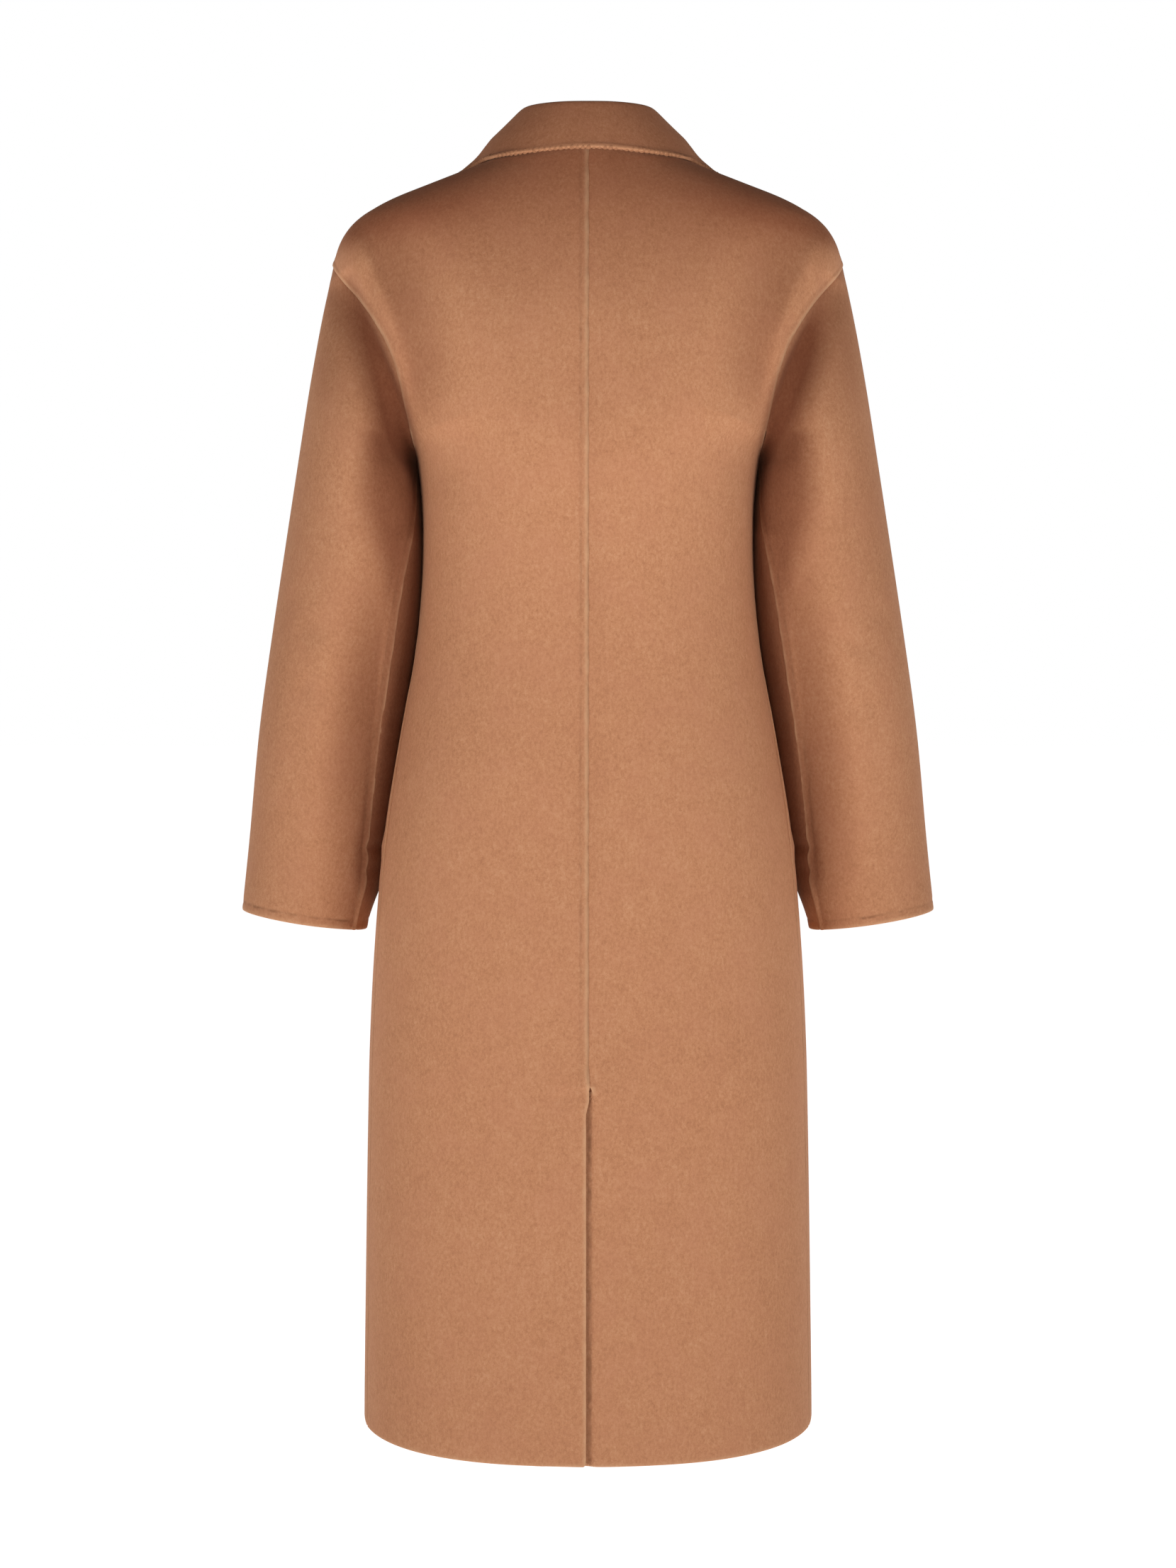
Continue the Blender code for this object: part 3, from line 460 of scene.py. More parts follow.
def drapeShift(places):
    # how far each point of the cloth moves, as a smooth function of its place, and how much painted shade it
    # gets for lying deep in a trough
    x, y, z = places.T
    behind = ease(y, *drape["change"])
    ripple = sum(much * wave(places, one) * wave(places, two) for much, one, two in drape["waves"])
    back = creaseLift(x, z, drape["behind"]) + drape["flutter"] * ripple
    front = creaseLift(x, z, drape["inFront"]) + drape["flutter"] * ripple
    shift = np.zeros_like(places)
    shift[:, 1] = behind * back - (1.0 - behind) * front
    for level in pocketNubs["levels"]:
        near = bell((z - level) / pocketNubs["tall"]) * bell((y - pocketNubs["at"]) / pocketNubs["deep"])
        near *= ease(np.abs(x), *pocketNubs["from"]) * ease(np.abs(x), *pocketNubs["to"])
        shift[:, 0] += np.sign(x) * pocketNubs["out"] * near
    sunk = -(behind * back + (1.0 - behind) * front)
    low, high = drape["hollow"]
    return shift, np.clip((sunk - low) / (high - low), 0.0, 1.0)


# Edges and seams: the turnings inside the double cloth make it thicker there

edgeColumns = ("rise", "groove", "at", "pale", "dark")
edgeLook = {
    # for each kind of edge: how far it stands up, the groove that its hand stitches pull in
    # (mm deep, and mm from the edge), how pale its painted highlight is and how dark the painted shade in the
    # groove looks
    "kinds": {
        "hem": (0.10, 0.0, 7.0, 0.30, 0.0),
        "cuff": (0.22, 0.42, 7.8, 0.30, 0.55),
        "vent": (0.22, 0.0, 7.0, 0.55, 0.0),
        "front": (0.30, 0.30, 6.9, 0.40, 0.32),
        "collar": (0.50, 0.0, 7.0, 0.15, 0.0),
        "centre": (0.95, 0.30, 6.2, 0.50, 0.34),
        "armhole": (0.42, 0.10, 5.0, 0.55, 0.20),
        "sleeve": (0.50, 0.24, 6.6, 0.28, 0.34),
        "side": (0.24, 0.14, 6.0, 0.20, 0.22),
        # painted shadow in the gap under the vent's lapping edge
        "ventUnder": (0.0, 0.0, 0.9, 0.0, 1.0),
        "plain": (0.0, 0.0, 7.0, 0.0, 0.0),
    },
    "band": 4.6,  # mm of thicker cloth along an edge
    "bandFade": 0.85,
    "grooveWidth": 1.25,
    "sink": 0.22,  # how far the flat side of a seam goes down
    "sinkWidth": 2.2,
    "tuck": 1.1,  # and how far it reaches under its neighbour
    "tuckReach": 2.2,
    "tuckEnd": 6.6,
    "far": 60.0,  # mm past which an edge no longer matters
    "beat": (0.35, (0.0, 0.0, 0.21, 0.0), (0.05, 0.0, 0.067, 0.0)),  # how its strength varies
    "wander": (0.8, (0.13, 0.09, 0.045, 0.0)),  # and how the groove strays, in mm
    "most": 1.2,
    "armholeLow": 0.35,  # what is left of the armhole's band at the underarm
    "armholeFade": (-240.0, -150.0),
    "hemTurn": 0.8,  # a free edge whose way in points up so steeply is the hem
    "ventTop": -800.0,
    "ventReach": 15.0,  # mm from the middle within which the vent's edge lies
    "ventTurn": 0.5,
    # the seams whose turnings lie on one side: the panel that stands up, and its neighbour
    "raised": {
        ("back_left", "back_right"): "centre",
        ("front_left", "back_left"): "side",
        ("front_right", "back_right"): "side",
        ("upper_sleeve_left", "under_sleeve_left"): "sleeve",
        ("upper_sleeve_right", "under_sleeve_right"): "sleeve",
    },
}


def kindOf(name):
    return name.rsplit("_", 1)[0] if name.endswith(("left", "right")) else name


def edgeKind(name, partner, row):
    kind = kindOf(name)
    if partner == "":
        if kind == "collar":
            return "collar"
        if kind.endswith("sleeve"):
            return "cuff"
        if row[8] > edgeLook["hemTurn"]:
            return "hem"
        return "vent" if kind == "back" else "front"
    if (name, partner) in edgeLook["raised"]:
        found = edgeLook["raised"][name, partner]
        return "vent" if found == "centre" and row[2] < edgeLook["ventTop"] else found
    if kind in ("back", "front") and "sleeve" in partner:
        return "armhole"
    return "plain"


def ventRows(marks, sewn):
    # the marks along the lapping edge of the vent
    rows = marks["back_left"]
    near = (np.abs(rows[:, 0]) < edgeLook["ventReach"]) & (rows[:, 2] < edgeLook["ventTop"])
    return rows[near & (sewn["back_left"] == "") & (rows[:, 8] < edgeLook["ventTurn"])]


def shapeEdges(mesh, name, allMarks, allSewn):
    # thickens the bands along the edges and presses the grooves, and keeps the masks for their painted
    # highlights and painted shade
    places = placesOf(mesh)
    marks = allMarks[name]
    sewn = allSewn[name]
    joint = marks[sewn != "", :3]
    under = np.zeros((len(places), 3))
    kinds = np.array([edgeKind(name, partner, row) for partner, row in zip(sewn, marks)])
    flat = marks[(kinds == "plain") & (sewn != "") & (kindOf(name) != "collar")]
    if len(flat):
        tree = treeOf(flat[:, :3])
        for at, place in enumerate(places):
            _, k, away = tree.find(place)
            if away < edgeLook["tuckEnd"]:
                under[at] = -flat[k, 6:9] * edgeLook["tuck"] * math.exp(-(away / edgeLook["tuckReach"]) ** 2)
    if name == "back_right":
        lap = ventRows(allMarks, allSewn)
        marks = np.concatenate((marks, lap))
        kinds = np.append(kinds, ["ventUnder"] * len(lap))
    lift = np.zeros(len(places))
    nearest = np.full(len(places), edgeLook["far"])
    values = {key: np.zeros(len(places)) for key in ("pale", "dark", "at")}
    much, one, two = edgeLook["beat"]
    beat = 1.0 + much * wave(places, one) * wave(places, two)
    stray = edgeLook["wander"][0] * wave(places, edgeLook["wander"][1])
    for kind in sorted(set(kinds)):
        look = dict(zip(edgeColumns, edgeLook["kinds"][kind]))
        away = distances(places, marks[kinds == kind][:, :3])
        strength = beat
        if kind == "armhole":
            low = edgeLook["armholeLow"]
            strength = beat * (low + (1.0 - low) * ease(places[:, 2], *edgeLook["armholeFade"]))
        half = edgeLook["band"] * 0.5
        band = bell(np.maximum(away - half, 0.0) / (half * edgeLook["bandFade"]))
        groove = bell((away + stray - look["at"]) / edgeLook["grooveWidth"])
        if kind in ("plain", "ventUnder"):
            piece = -edgeLook["sink"] * bell(away / edgeLook["sinkWidth"])
        else:
            piece = strength * (look["rise"] * band - look["groove"] * groove)
        lift = np.where(np.abs(piece) > np.abs(lift), piece, lift)
        closer = away < nearest
        nearest = np.where(closer, away, nearest)
        for key in values:
            share = np.clip(strength, 0.0, edgeLook["most"]) if key != "at" else 1.0
            values[key] = np.where(closer, look[key] * share, values[key])
    storeValue(mesh, "edgeRun", nearest)
    storeValue(mesh, "edgePale", values["pale"])
    storeValue(mesh, "edgeDark", values["dark"])
    storeValue(mesh, "grooveAt", values["at"])
    storeValue(mesh, "seamRun", np.minimum(distances(places, joint), edgeLook["far"]))
    return lift, under


ventJog = {
    # the stretch that is eased: mm where it begins and where it is full
    "inner": (-24.0, -16.0),
    "outer": (6.0, 0.0),
    "top": (-792.0, -804.0),
    "hem": (-1090.0, -1070.0),
    "rounds": 9,
    "pull": 0.6,
}
ventEdge = {"back": 2.8, "reach": 10.0, "fade": 14.0}  # mm by which the lapping edge stands back


def easeJog(mesh, places):
    # the step where the right back turns under the left is a soft one
    ends = np.empty(len(mesh.edges) * 2, np.int32)
    mesh.edges.foreach_get("vertices", ends)
    one, two = ends.reshape(-1, 2).T
    x, y, z = places.T
    share = ease(x, *ventJog["inner"]) * ease(x, *ventJog["outer"])
    share *= ease(z, *ventJog["top"]) * ease(z, *ventJog["hem"]) * (y > 0.0)
    count = np.bincount(one, minlength=len(places)) + np.bincount(two, minlength=len(places))
    for _ in range(ventJog["rounds"]):
        total = np.zeros_like(places)
        np.add.at(total, one, places[two])
        np.add.at(total, two, places[one])
        places = places + ventJog["pull"] * share[:, None] * (total / count[:, None] - places)
    return places


def drawBackVent(places, edge):
    # leaves the narrow dark line that parts the lapping edge from the cloth beside it
    away = distances(places, edge[:, :3])
    top = edgeLook["ventTop"]
    share = bell(away / ventEdge["reach"]) * ease(places[:, 2], top, top - ventEdge["fade"])
    places = places.copy()
    places[:, 0] += ventEdge["back"] * share
    return places


# The sleeves lean on the coat's sides

sleeveHang = {
    "top": -230.0,  # mm, where the sleeve starts to lie against the side
    "full": -252.0,
    "letGo": -612.0,
    "end": -668.0,
    "clear": -0.4,  # mm between the two, so they press together a little
    "sideDepth": 60.0,  # mm to front and back within which the coat's side is looked for
    "hollow": 0.8,  # how much painted shade where they touch
    "hollowSpread": 2.0,
    "sharp": 3.2,  # how closely the move keeps to the innermost part
    "sharpFrom": (-300.0, -410.0),
    "rows": 7.0,  # mm between the rows of points that are told apart
    "evenBelow": (-330.0, -300.0),  # the room is averaged only below these levels
    "step": 6.0,  # between the levels where the room is measured
}


def sideOf(places, levels):
    # how far out the cloth reaches at each level, between the rows of points that it has
    band = np.round(places[:, 2] / sleeveHang["rows"])
    order = np.lexsort((places[:, 0], band))
    last = order[np.append(np.diff(band[order]) > 0.0, True)]
    return np.interp(levels, places[last, 2], places[last, 0])


def even(row, reach=2):
    # the row with its small unevenness averaged away
    return np.convolve(np.pad(row, reach, "edge"), np.full(2 * reach + 1, 1.0 / (2 * reach + 1)), "valid")


def bodyOf(panels):
    return [panel for name, panel in panels.items() if kindOf(name) in ("back", "front")]


def leanSleeve(side, panels):
    # the inner side of the sleeve moves towards the coat's side by the room that it has there
    sign = 1.0 if side == "left" else -1.0
    parts = [panels[kind + side] for kind in ("upper_sleeve_", "under_sleeve_")]
    arm = np.concatenate([placesOf(part.data) for part in parts])
    coat = np.concatenate([placesOf(panel.data) for panel in bodyOf(panels)])
    coat = coat[np.abs(coat[:, 1]) < sleeveHang["sideDepth"]]
    levels = np.arange(sleeveHang["top"], sleeveHang["end"] - 1.0, -sleeveHang["step"])
    inside = -sideOf(arm * (-sign, 1.0, 1.0), levels)
    outside = sideOf(arm * (sign, 1.0, 1.0), levels)
    beside = sideOf(coat * (sign, 1.0, 1.0), levels)
    raw = np.maximum(inside - beside - sleeveHang["clear"], 0.0)
    room, inside, outside = (even(row) for row in (raw, inside, outside))
    room = np.maximum(room, raw * ease(levels, *sleeveHang["evenBelow"]))
    rows = np.array((room, inside, 0.5 * (inside + outside)))
    for part in parts:
        places = placesOf(part.data)
        x, _, z = places.T
        room, inner, middle = (np.interp(-z, -levels, row) for row in rows)
        sharp = 1.0 + (sleeveHang["sharp"] - 1.0) * ease(z, *sleeveHang["sharpFrom"])
        share = np.clip((middle - x * sign) / (middle - inner), 0.0, 1.0) ** sharp
        share *= ease(z, sleeveHang["top"], sleeveHang["full"])
        share *= ease(z, sleeveHang["end"], sleeveHang["letGo"])
        # painted shade where the sleeve lies against the coat's side
        hollow = np.empty(len(places), np.float32)
        part.data.attributes["hollow"].data.foreach_get("value", hollow)
        touch = sleeveHang["hollow"] * ease(share * sleeveHang["hollowSpread"])
        hollow = np.maximum(hollow, touch).astype(np.float32)
        part.data.attributes["hollow"].data.foreach_set("value", hollow)
        places[:, 0] -= sign * room * share
        setPlaces(part.data, places)
        print(part.name, "leans in by up to", round(float((room * share).max()), 1), "mm")


# mm by which the sleeve fills the point where the shoulder and armhole seams meet
shoulderPoint = {"reach": 8.0, "over": 2.0, "up": 0.5}

topShade = {
    # painted shade: where the cloth faces up it is painted darker, most of all towards the shoulders' ends
    "turn": (0.12, 0.54),  # the height of the surface's normal over which that grows
    "middle": 0.72,  # how much of it there is at the coat's middle
    "outward": (50.0, 140.0),  # mm from the middle over which the rest comes
    "collar": 0.5,
}


def fillShoulderPoint(places, rows, sewn):
    # the sleeve's top reaches under the corner where the two shoulder panels meet
    joined = rows[sewn != ""]
    top = joined[np.argmax(joined[:, 2])]
    share = bell(np.linalg.norm(places - top[:3], axis=1) / shoulderPoint["reach"])
    return places + share[:, None] * (shoulderPoint["up"] * top[3:6] - shoulderPoint["over"] * top[6:9])


def buildPanel(name, marks, sewn, bm, material):
    kind = kindOf(name)
    mesh = finerMesh(bm, name + "_cloth", panelLook["levels"][kind])
    places = placesOf(mesh)
    normals = pointsOf(mesh, "normal")
    edgeLift, tucked = shapeEdges(mesh, name, marks, sewn)
    moved = places + tucked
    if name == "back_right":
        moved = easeJog(mesh, moved)
    if name == "back_left":
        moved = drawBackVent(moved, ventRows(marks, sewn))
    if kind == "upper_sleeve":
        moved = fillShoulderPoint(moved, marks[name], sewn[name])
    shift, hollow = drapeShift(places)
    if kind != "collar":
        moved = moved + shift
    # painted shade: the deeper a crease's trough, the darker it is painted
    storeValue(mesh, "hollow", hollow if kind != "collar" else np.zeros(len(places)))
    # painted shade: cloth that faces up is painted darker, most towards the shoulders' ends
    much = topShade["middle"] + (1.0 - topShade["middle"]) * ease(np.abs(places[:, 0]), *topShade["outward"])
    if kind == "collar":
        much = topShade["collar"]
    storeValue(mesh, "upward", much * ease(normals[:, 2], *topShade["turn"]))
    mesh.shade_smooth()
    setPlaces(mesh, moved + normals * edgeLift[:, None])
    mesh.materials.clear()
    mesh.materials.append(material)
    panel = bpy.data.objects.new(name + "_cloth", mesh)
    scene.collection.objects.link(panel)
    return panel


# The collar lies on the shoulders: its fall comes down to the cloth under it there

collarRest = {
    "from": 55.0,  # mm from the middle where it starts to come down
    "full": 94.0,
    "gap": 0.4,
    "closeFrom": 84.0,  # mm from the middle past which it lies closer to the neck
    "closeIn": 0.34,
    "closeUp": 0.19,
    "closeDepth": (-40.0, 20.0),  # y over which that starts, so that the front ends stay
    "closeAfter": 24.0,  # mm from the neck seam over which it starts
    "most": 8.0,
    "look": 30.0,  # mm to look down for the cloth under it
    "band": 42.0,  # mm from its free edge within which it comes down
    "fade": 36.0,
    "hold": 8.0,  # mm over which neighbouring points come down alike
}


def settleCollar(collar, under, freeEdge, neckEdge):
    places = placesOf(collar.data)
    past = np.maximum(np.abs(places[:, 0]) - collarRest["closeFrom"], 0.0)
    past *= ease(places[:, 1], *collarRest["closeDepth"])
    past *= ease(distances(places, neckEdge), full=collarRest["closeAfter"])
    places[:, 0] -= np.sign(places[:, 0]) * past * collarRest["closeIn"]
    places[:, 2] += past * collarRest["closeUp"]
    normals = pointsOf(collar.data, "normal")
    corners = []
    faces = []
    for panel in under:
        start = len(corners)
        corners.extend(vert.co / mm for vert in panel.data.vertices)
        faces.extend([start + k for k in face.vertices] for face in panel.data.polygons)
    tree = BVHTree.FromPolygons(corners, faces)
    share = ease(np.abs(places[:, 0]), collarRest["from"], collarRest["full"])
    share *= ease(distances(places, freeEdge), collarRest["band"], collarRest["band"] - collarRest["fade"])
    zone = np.flatnonzero(share > 0.0)
    room = np.full(len(zone), collarRest["most"])
    for at, k in enumerate(zone):
        below = tree.ray_cast(Vector(places[k]), Vector((0.0, 0.0, -1.0)), collarRest["look"])[3]
        if below is not None:
            wall = panelLook["thickness"] if normals[k][2] > 0.0 else 0.0
            room[at] = min(room[at], max(0.0, below - wall - collarRest["gap"]))
    near = treeOf(places[zone] * (1.0, 1.0, 0.0))
    around = [[item[1] for item in near.find_range((*places[k][:2], 0.0), collarRest["hold"])] for k in zone]
    least = np.array([room[group].min() for group in around])
    soft = np.array([least[group].mean() for group in around])
    drop = np.zeros(len(places))
    drop[zone] = soft * share[zone]
    places[:, 2] -= drop
    setPlaces(collar.data, places)
    print("collar settled by up to", round(float(drop.max()), 1), "mm")


# The hand-sewn edge of the collar: a row of small swellings, each drawn in by the next stitch

ropeLook = {
    "inset": 1.2,  # mm from the edge to the row's middle
    "finer": 4,  # points of the row's line for each cell of the cloth's edge
    "even": 3,  # points to either side over which that line is averaged
}
ropeInputs = {
    # the kind and the value of each input of its node group
    "Spacing": ("Float", 4.6 * mm),
    "Size": ("Vector", (3.0 * mm, 2.2 * mm, 2.05 * mm)),  # half the size of one swelling
    "Twist": ("Float", 0.42),  # radians by which each lies across the row
    "Play": ("Float", 0.10),  # how uneven their sizes are
    "Seed": ("Int", 4),
    "Fuzz spacing": ("Float", 0.55 * mm),  # between the short fibres that stand out of the edge
    "Fuzz radius": ("Float", 0.16 * mm),
    "Fuzz length": ("Float", 3.1 * mm),
    "Fuzz lean": ("Vector", (0.9, 0.9, 3.0)),  # radians to either side
}


class Group(Nodes):
    # a geometry node group

    def __init__(self, name):
        self.tree = bpy.data.node_groups.new(name, "GeometryNodeTree")
        self.tree.interface.new_socket("Geometry", in_out="INPUT", socket_type="NodeSocketGeometry")
        self.tree.interface.new_socket("Geometry", in_out="OUTPUT", socket_type="NodeSocketGeometry")
        self.entry = self.tree.nodes.new("NodeGroupInput")
        self.exit = self.tree.nodes.new("NodeGroupOutput")

    def ask(self, name, kind):
        self.tree.interface.new_socket(name, in_out="INPUT", socket_type=kind)
        return Socket(self.tree, self.entry.outputs[name])



def ropeGroup():
    group = Group("edge_rope")
    asked = {name: group.ask(name, "NodeSocket" + kind) for name, (kind, _) in ropeInputs.items()}
    finish = group.ask("Finish", "NodeSocketMaterial")
    curve = group.node("GeometryNodeMeshToCurve", {}, {"Mesh": group.entry.outputs["Geometry"]})

    def every(length):
        return group.node("GeometryNodeResampleCurve", {"mode": "LENGTH"}, {"Curve": curve, "Length": length})

    def facing(axis, way, **more):
        return group.node("FunctionNodeAlignRotationToVector", {"axis": axis, **more}, {"Vector": way})

    def stored(name):
        return group.node("GeometryNodeInputNamedAttribute", {"data_type": "FLOAT_VECTOR"}, {"Name": name})

    def turnedBy(rotation, turn):
        return group.node("FunctionNodeRotateRotation", {"rotation_space": "LOCAL"},
                          {"Rotation": rotation, "Rotate By": turn})

    def scaled(vector, much):
        return group.node("ShaderNodeVectorMath", {"operation": "SCALE"}, {0: vector, "Scale": much})

    # the swellings lie along the edge, each turned a little across it
    swelling = group.node("GeometryNodeMeshIcoSphere", {}, {"Radius": 1.0, "Subdivisions": 3})
    along = facing("X", group.node("GeometryNodeInputTangent"), pivot_axis="Z")
    group.feed(along.value.node.inputs["Rotation"], facing("Z", stored("faceWay")))
    across = group.node("ShaderNodeCombineXYZ", {}, {"Z": asked["Twist"]})
    change = group.node("FunctionNodeRandomValue", {"data_type": "FLOAT"},
                        {2: 1.0 - asked["Play"], 3: 1.0 + asked["Play"], "Seed": asked["Seed"]}, 1)
    many = group.node("GeometryNodeInstanceOnPoints", {},
                      {"Points": every(asked["Spacing"]), "Instance": swelling,
                       "Rotation": turnedBy(along, across), "Scale": scaled(asked["Size"], change)})

    # the fibres point outwards, each leaning its own way
    fibre = group.node("GeometryNodeMeshCone", {},
                       {"Vertices": 4, "Radius Top": 0.0, "Radius Bottom": asked["Fuzz radius"],
                        "Depth": asked["Fuzz length"]})
    lean = asked["Fuzz lean"]
    leans = group.node("FunctionNodeRandomValue", {"data_type": "FLOAT_VECTOR"},
                       {0: scaled(lean, -1.0), 1: lean, "Seed": asked["Seed"]})
    fuzz = group.node("GeometryNodeInstanceOnPoints", {},
                      {"Points": every(asked["Fuzz spacing"]), "Instance": fibre,
                       "Rotation": turnedBy(facing("Z", stored("outWay")), leans)})

    both = group.tree.nodes.new("GeometryNodeJoinGeometry")
    for piece in (many, fuzz):
        group.feed(both.inputs[0], piece)
    real = group.node("GeometryNodeRealizeInstances", {}, {"Geometry": both.outputs[0]})
    smooth = group.node("GeometryNodeSetShadeSmooth", {}, {"Geometry": real})
    done = group.node("GeometryNodeSetMaterial", {}, {"Geometry": smooth, "Material": finish})
    group.feed(group.exit.inputs["Geometry"], done)
    return group.tree


def collarRope(line, flat, settled, freeEdge, neckEdge, finish):
    free = distances(line[:, :3], freeEdge) < distances(line[:, :3], neckEdge)
    start = next(k for k in range(len(free)) if free[k] and not free[k - 1])
    line = np.roll(line, -start, axis=0)[:int(free.sum())]
    if line[0, 0] < line[-1, 0]:  # it runs from the wearer's left to the right
        line = line[::-1]
    at = np.arange(0.0, len(line) - 1.0, 1.0 / ropeLook["finer"])
    line = np.stack([np.interp(at, np.arange(len(line)), column) for column in line.T], axis=1)
    tree = treeOf(flat)
    rim = settled[[tree.find(point)[1] for point in line[:, :3]]]
    inner = rim - ropeLook["inset"] * line[:, 3:6]
    points = np.stack([even(column, ropeLook["even"]) for column in inner.T], axis=1)
    mesh = bpy.data.meshes.new("collar_rope")
    mesh.from_pydata(points * mm, [(k, k + 1) for k in range(len(points) - 1)], [])
    for name, column in (("outWay", 3), ("faceWay", 6)):
        way = mesh.attributes.new(name, "FLOAT_VECTOR", "POINT")
        way.data.foreach_set("vector", line[:, column:column + 3].astype(np.float32).ravel())
    rope = bpy.data.objects.new("collar_rope", mesh)
    scene.collection.objects.link(rope)
    live = rope.modifiers.new("rope", "NODES")
    live.node_group = ropeGroup()
    chosen = {"Finish": finish, **{key: value for key, (_, value) in ropeInputs.items()}}
    for item in live.node_group.interface.items_tree:
        if item.name in chosen:
            live[item.identifier] = chosen[item.name]
    shown = rope.evaluated_get(bpy.context.evaluated_depsgraph_get())
    plain = bpy.data.meshes.new_from_object(shown)
    rope.modifiers.remove(live)
    rope.data = plain
    print("collar rope has", len(plain.polygons), "faces")
    return rope


# Finishes, in the colours of the cloth, with painted shade and painted highlights in the wool

woolLook = {
    "body": (0.50, 0.232, 0.117),
    "dark": (0.285, 0.112, 0.052),
    "light": (0.66, 0.375, 0.215),
    "blush": (0.50, 0.222, 0.122),
    # painted highlight colour along the edges and the seams' ridges
    "edge": (0.62, 0.37, 0.21),
    # painted shade colour for the stitch grooves, the vent's gap and the seams
    "deep": (0.13, 0.050, 0.022),
    "hollow": (0.37, 0.245, 0.205),  # painted shade: what is left of the colour in the troughs and where the sleeves touch the coat
    "hollowShare": 0.95,
    "upward": (0.50, 0.25, 0.18),  # painted shade: and where the cloth faces up
    "upwardShare": 0.62,
    "curl": 260.0,  # all scales are for each metre
    "curlReach": 0.0022,
    "brush": (1.0, 1.0, 0.7),  # the nap is longer up and down
    "noises": {  # the field each lies in, its scale, detail and roughness
        "speckle": ("curled", 1000.0, 2.0, 0.6),
        "fibre": ("brushed", 430.0, 2.0, 0.55),
        "matted": ("brushed", 120.4, 3.0, 0.6),
        "blush": ("shifted", 30.0, 2.0, 0.5),
        "cloud": ("shifted", 55.0, 3.0, 0.55),
        "broad": ("shifted", 7.15, 2.0, 0.5),
    },
    "toneOf": {"fibre": 1.0, "speckle": 0.75, "matted": 0.30, "cloud": 0.22, "broad": 0.22},
    "contrast": 0.62,
    "blushOf": (0.42, 2.2, 0.5),  # from which value of its noise, how fast, and how much of it
    "raggedOf": {"matted": 2.6, "cloud": 1.6},  # mm by which the bands along the edges stray
    "edgeHighlight": (0.8, 1.9),  # mm, the middle and width of the painted highlight along the edges
    "grooveWidth": 1.15,
    "grooveGaps": (0.40, 3.2, 0.2),  # its breaks: from which value, how fast, and the least of it
    # painted shade along the seams
    "seamWidth": 1.1,
    "seamDark": 0.30,
    "reliefOf": {"fibre": 0.55, "speckle": 0.4, "matted": 0.9},
    "grooveRelief": 0.8,
    "bump": 0.55,
    "bumpReach": 0.0005,
    "roughness": 0.93,
    "sheen": 0.14,
    "sheenRoughness": 0.5,
    "sheenTint": (1.0, 0.64, 0.42, 1.0),
    "specular": 0.18,
    # for each kind of panel: where its pattern starts, and how bright it is; the sleeves and, a little,
    # the collar are painted darker, as painted shade
    "kinds": {"back": (0.0, 1.0), "front": (3.1, 1.0), "collar": (5.3, 0.98),
              "upper_sleeve": (7.9, 0.90), "under_sleeve": (9.4, 0.90)},
}


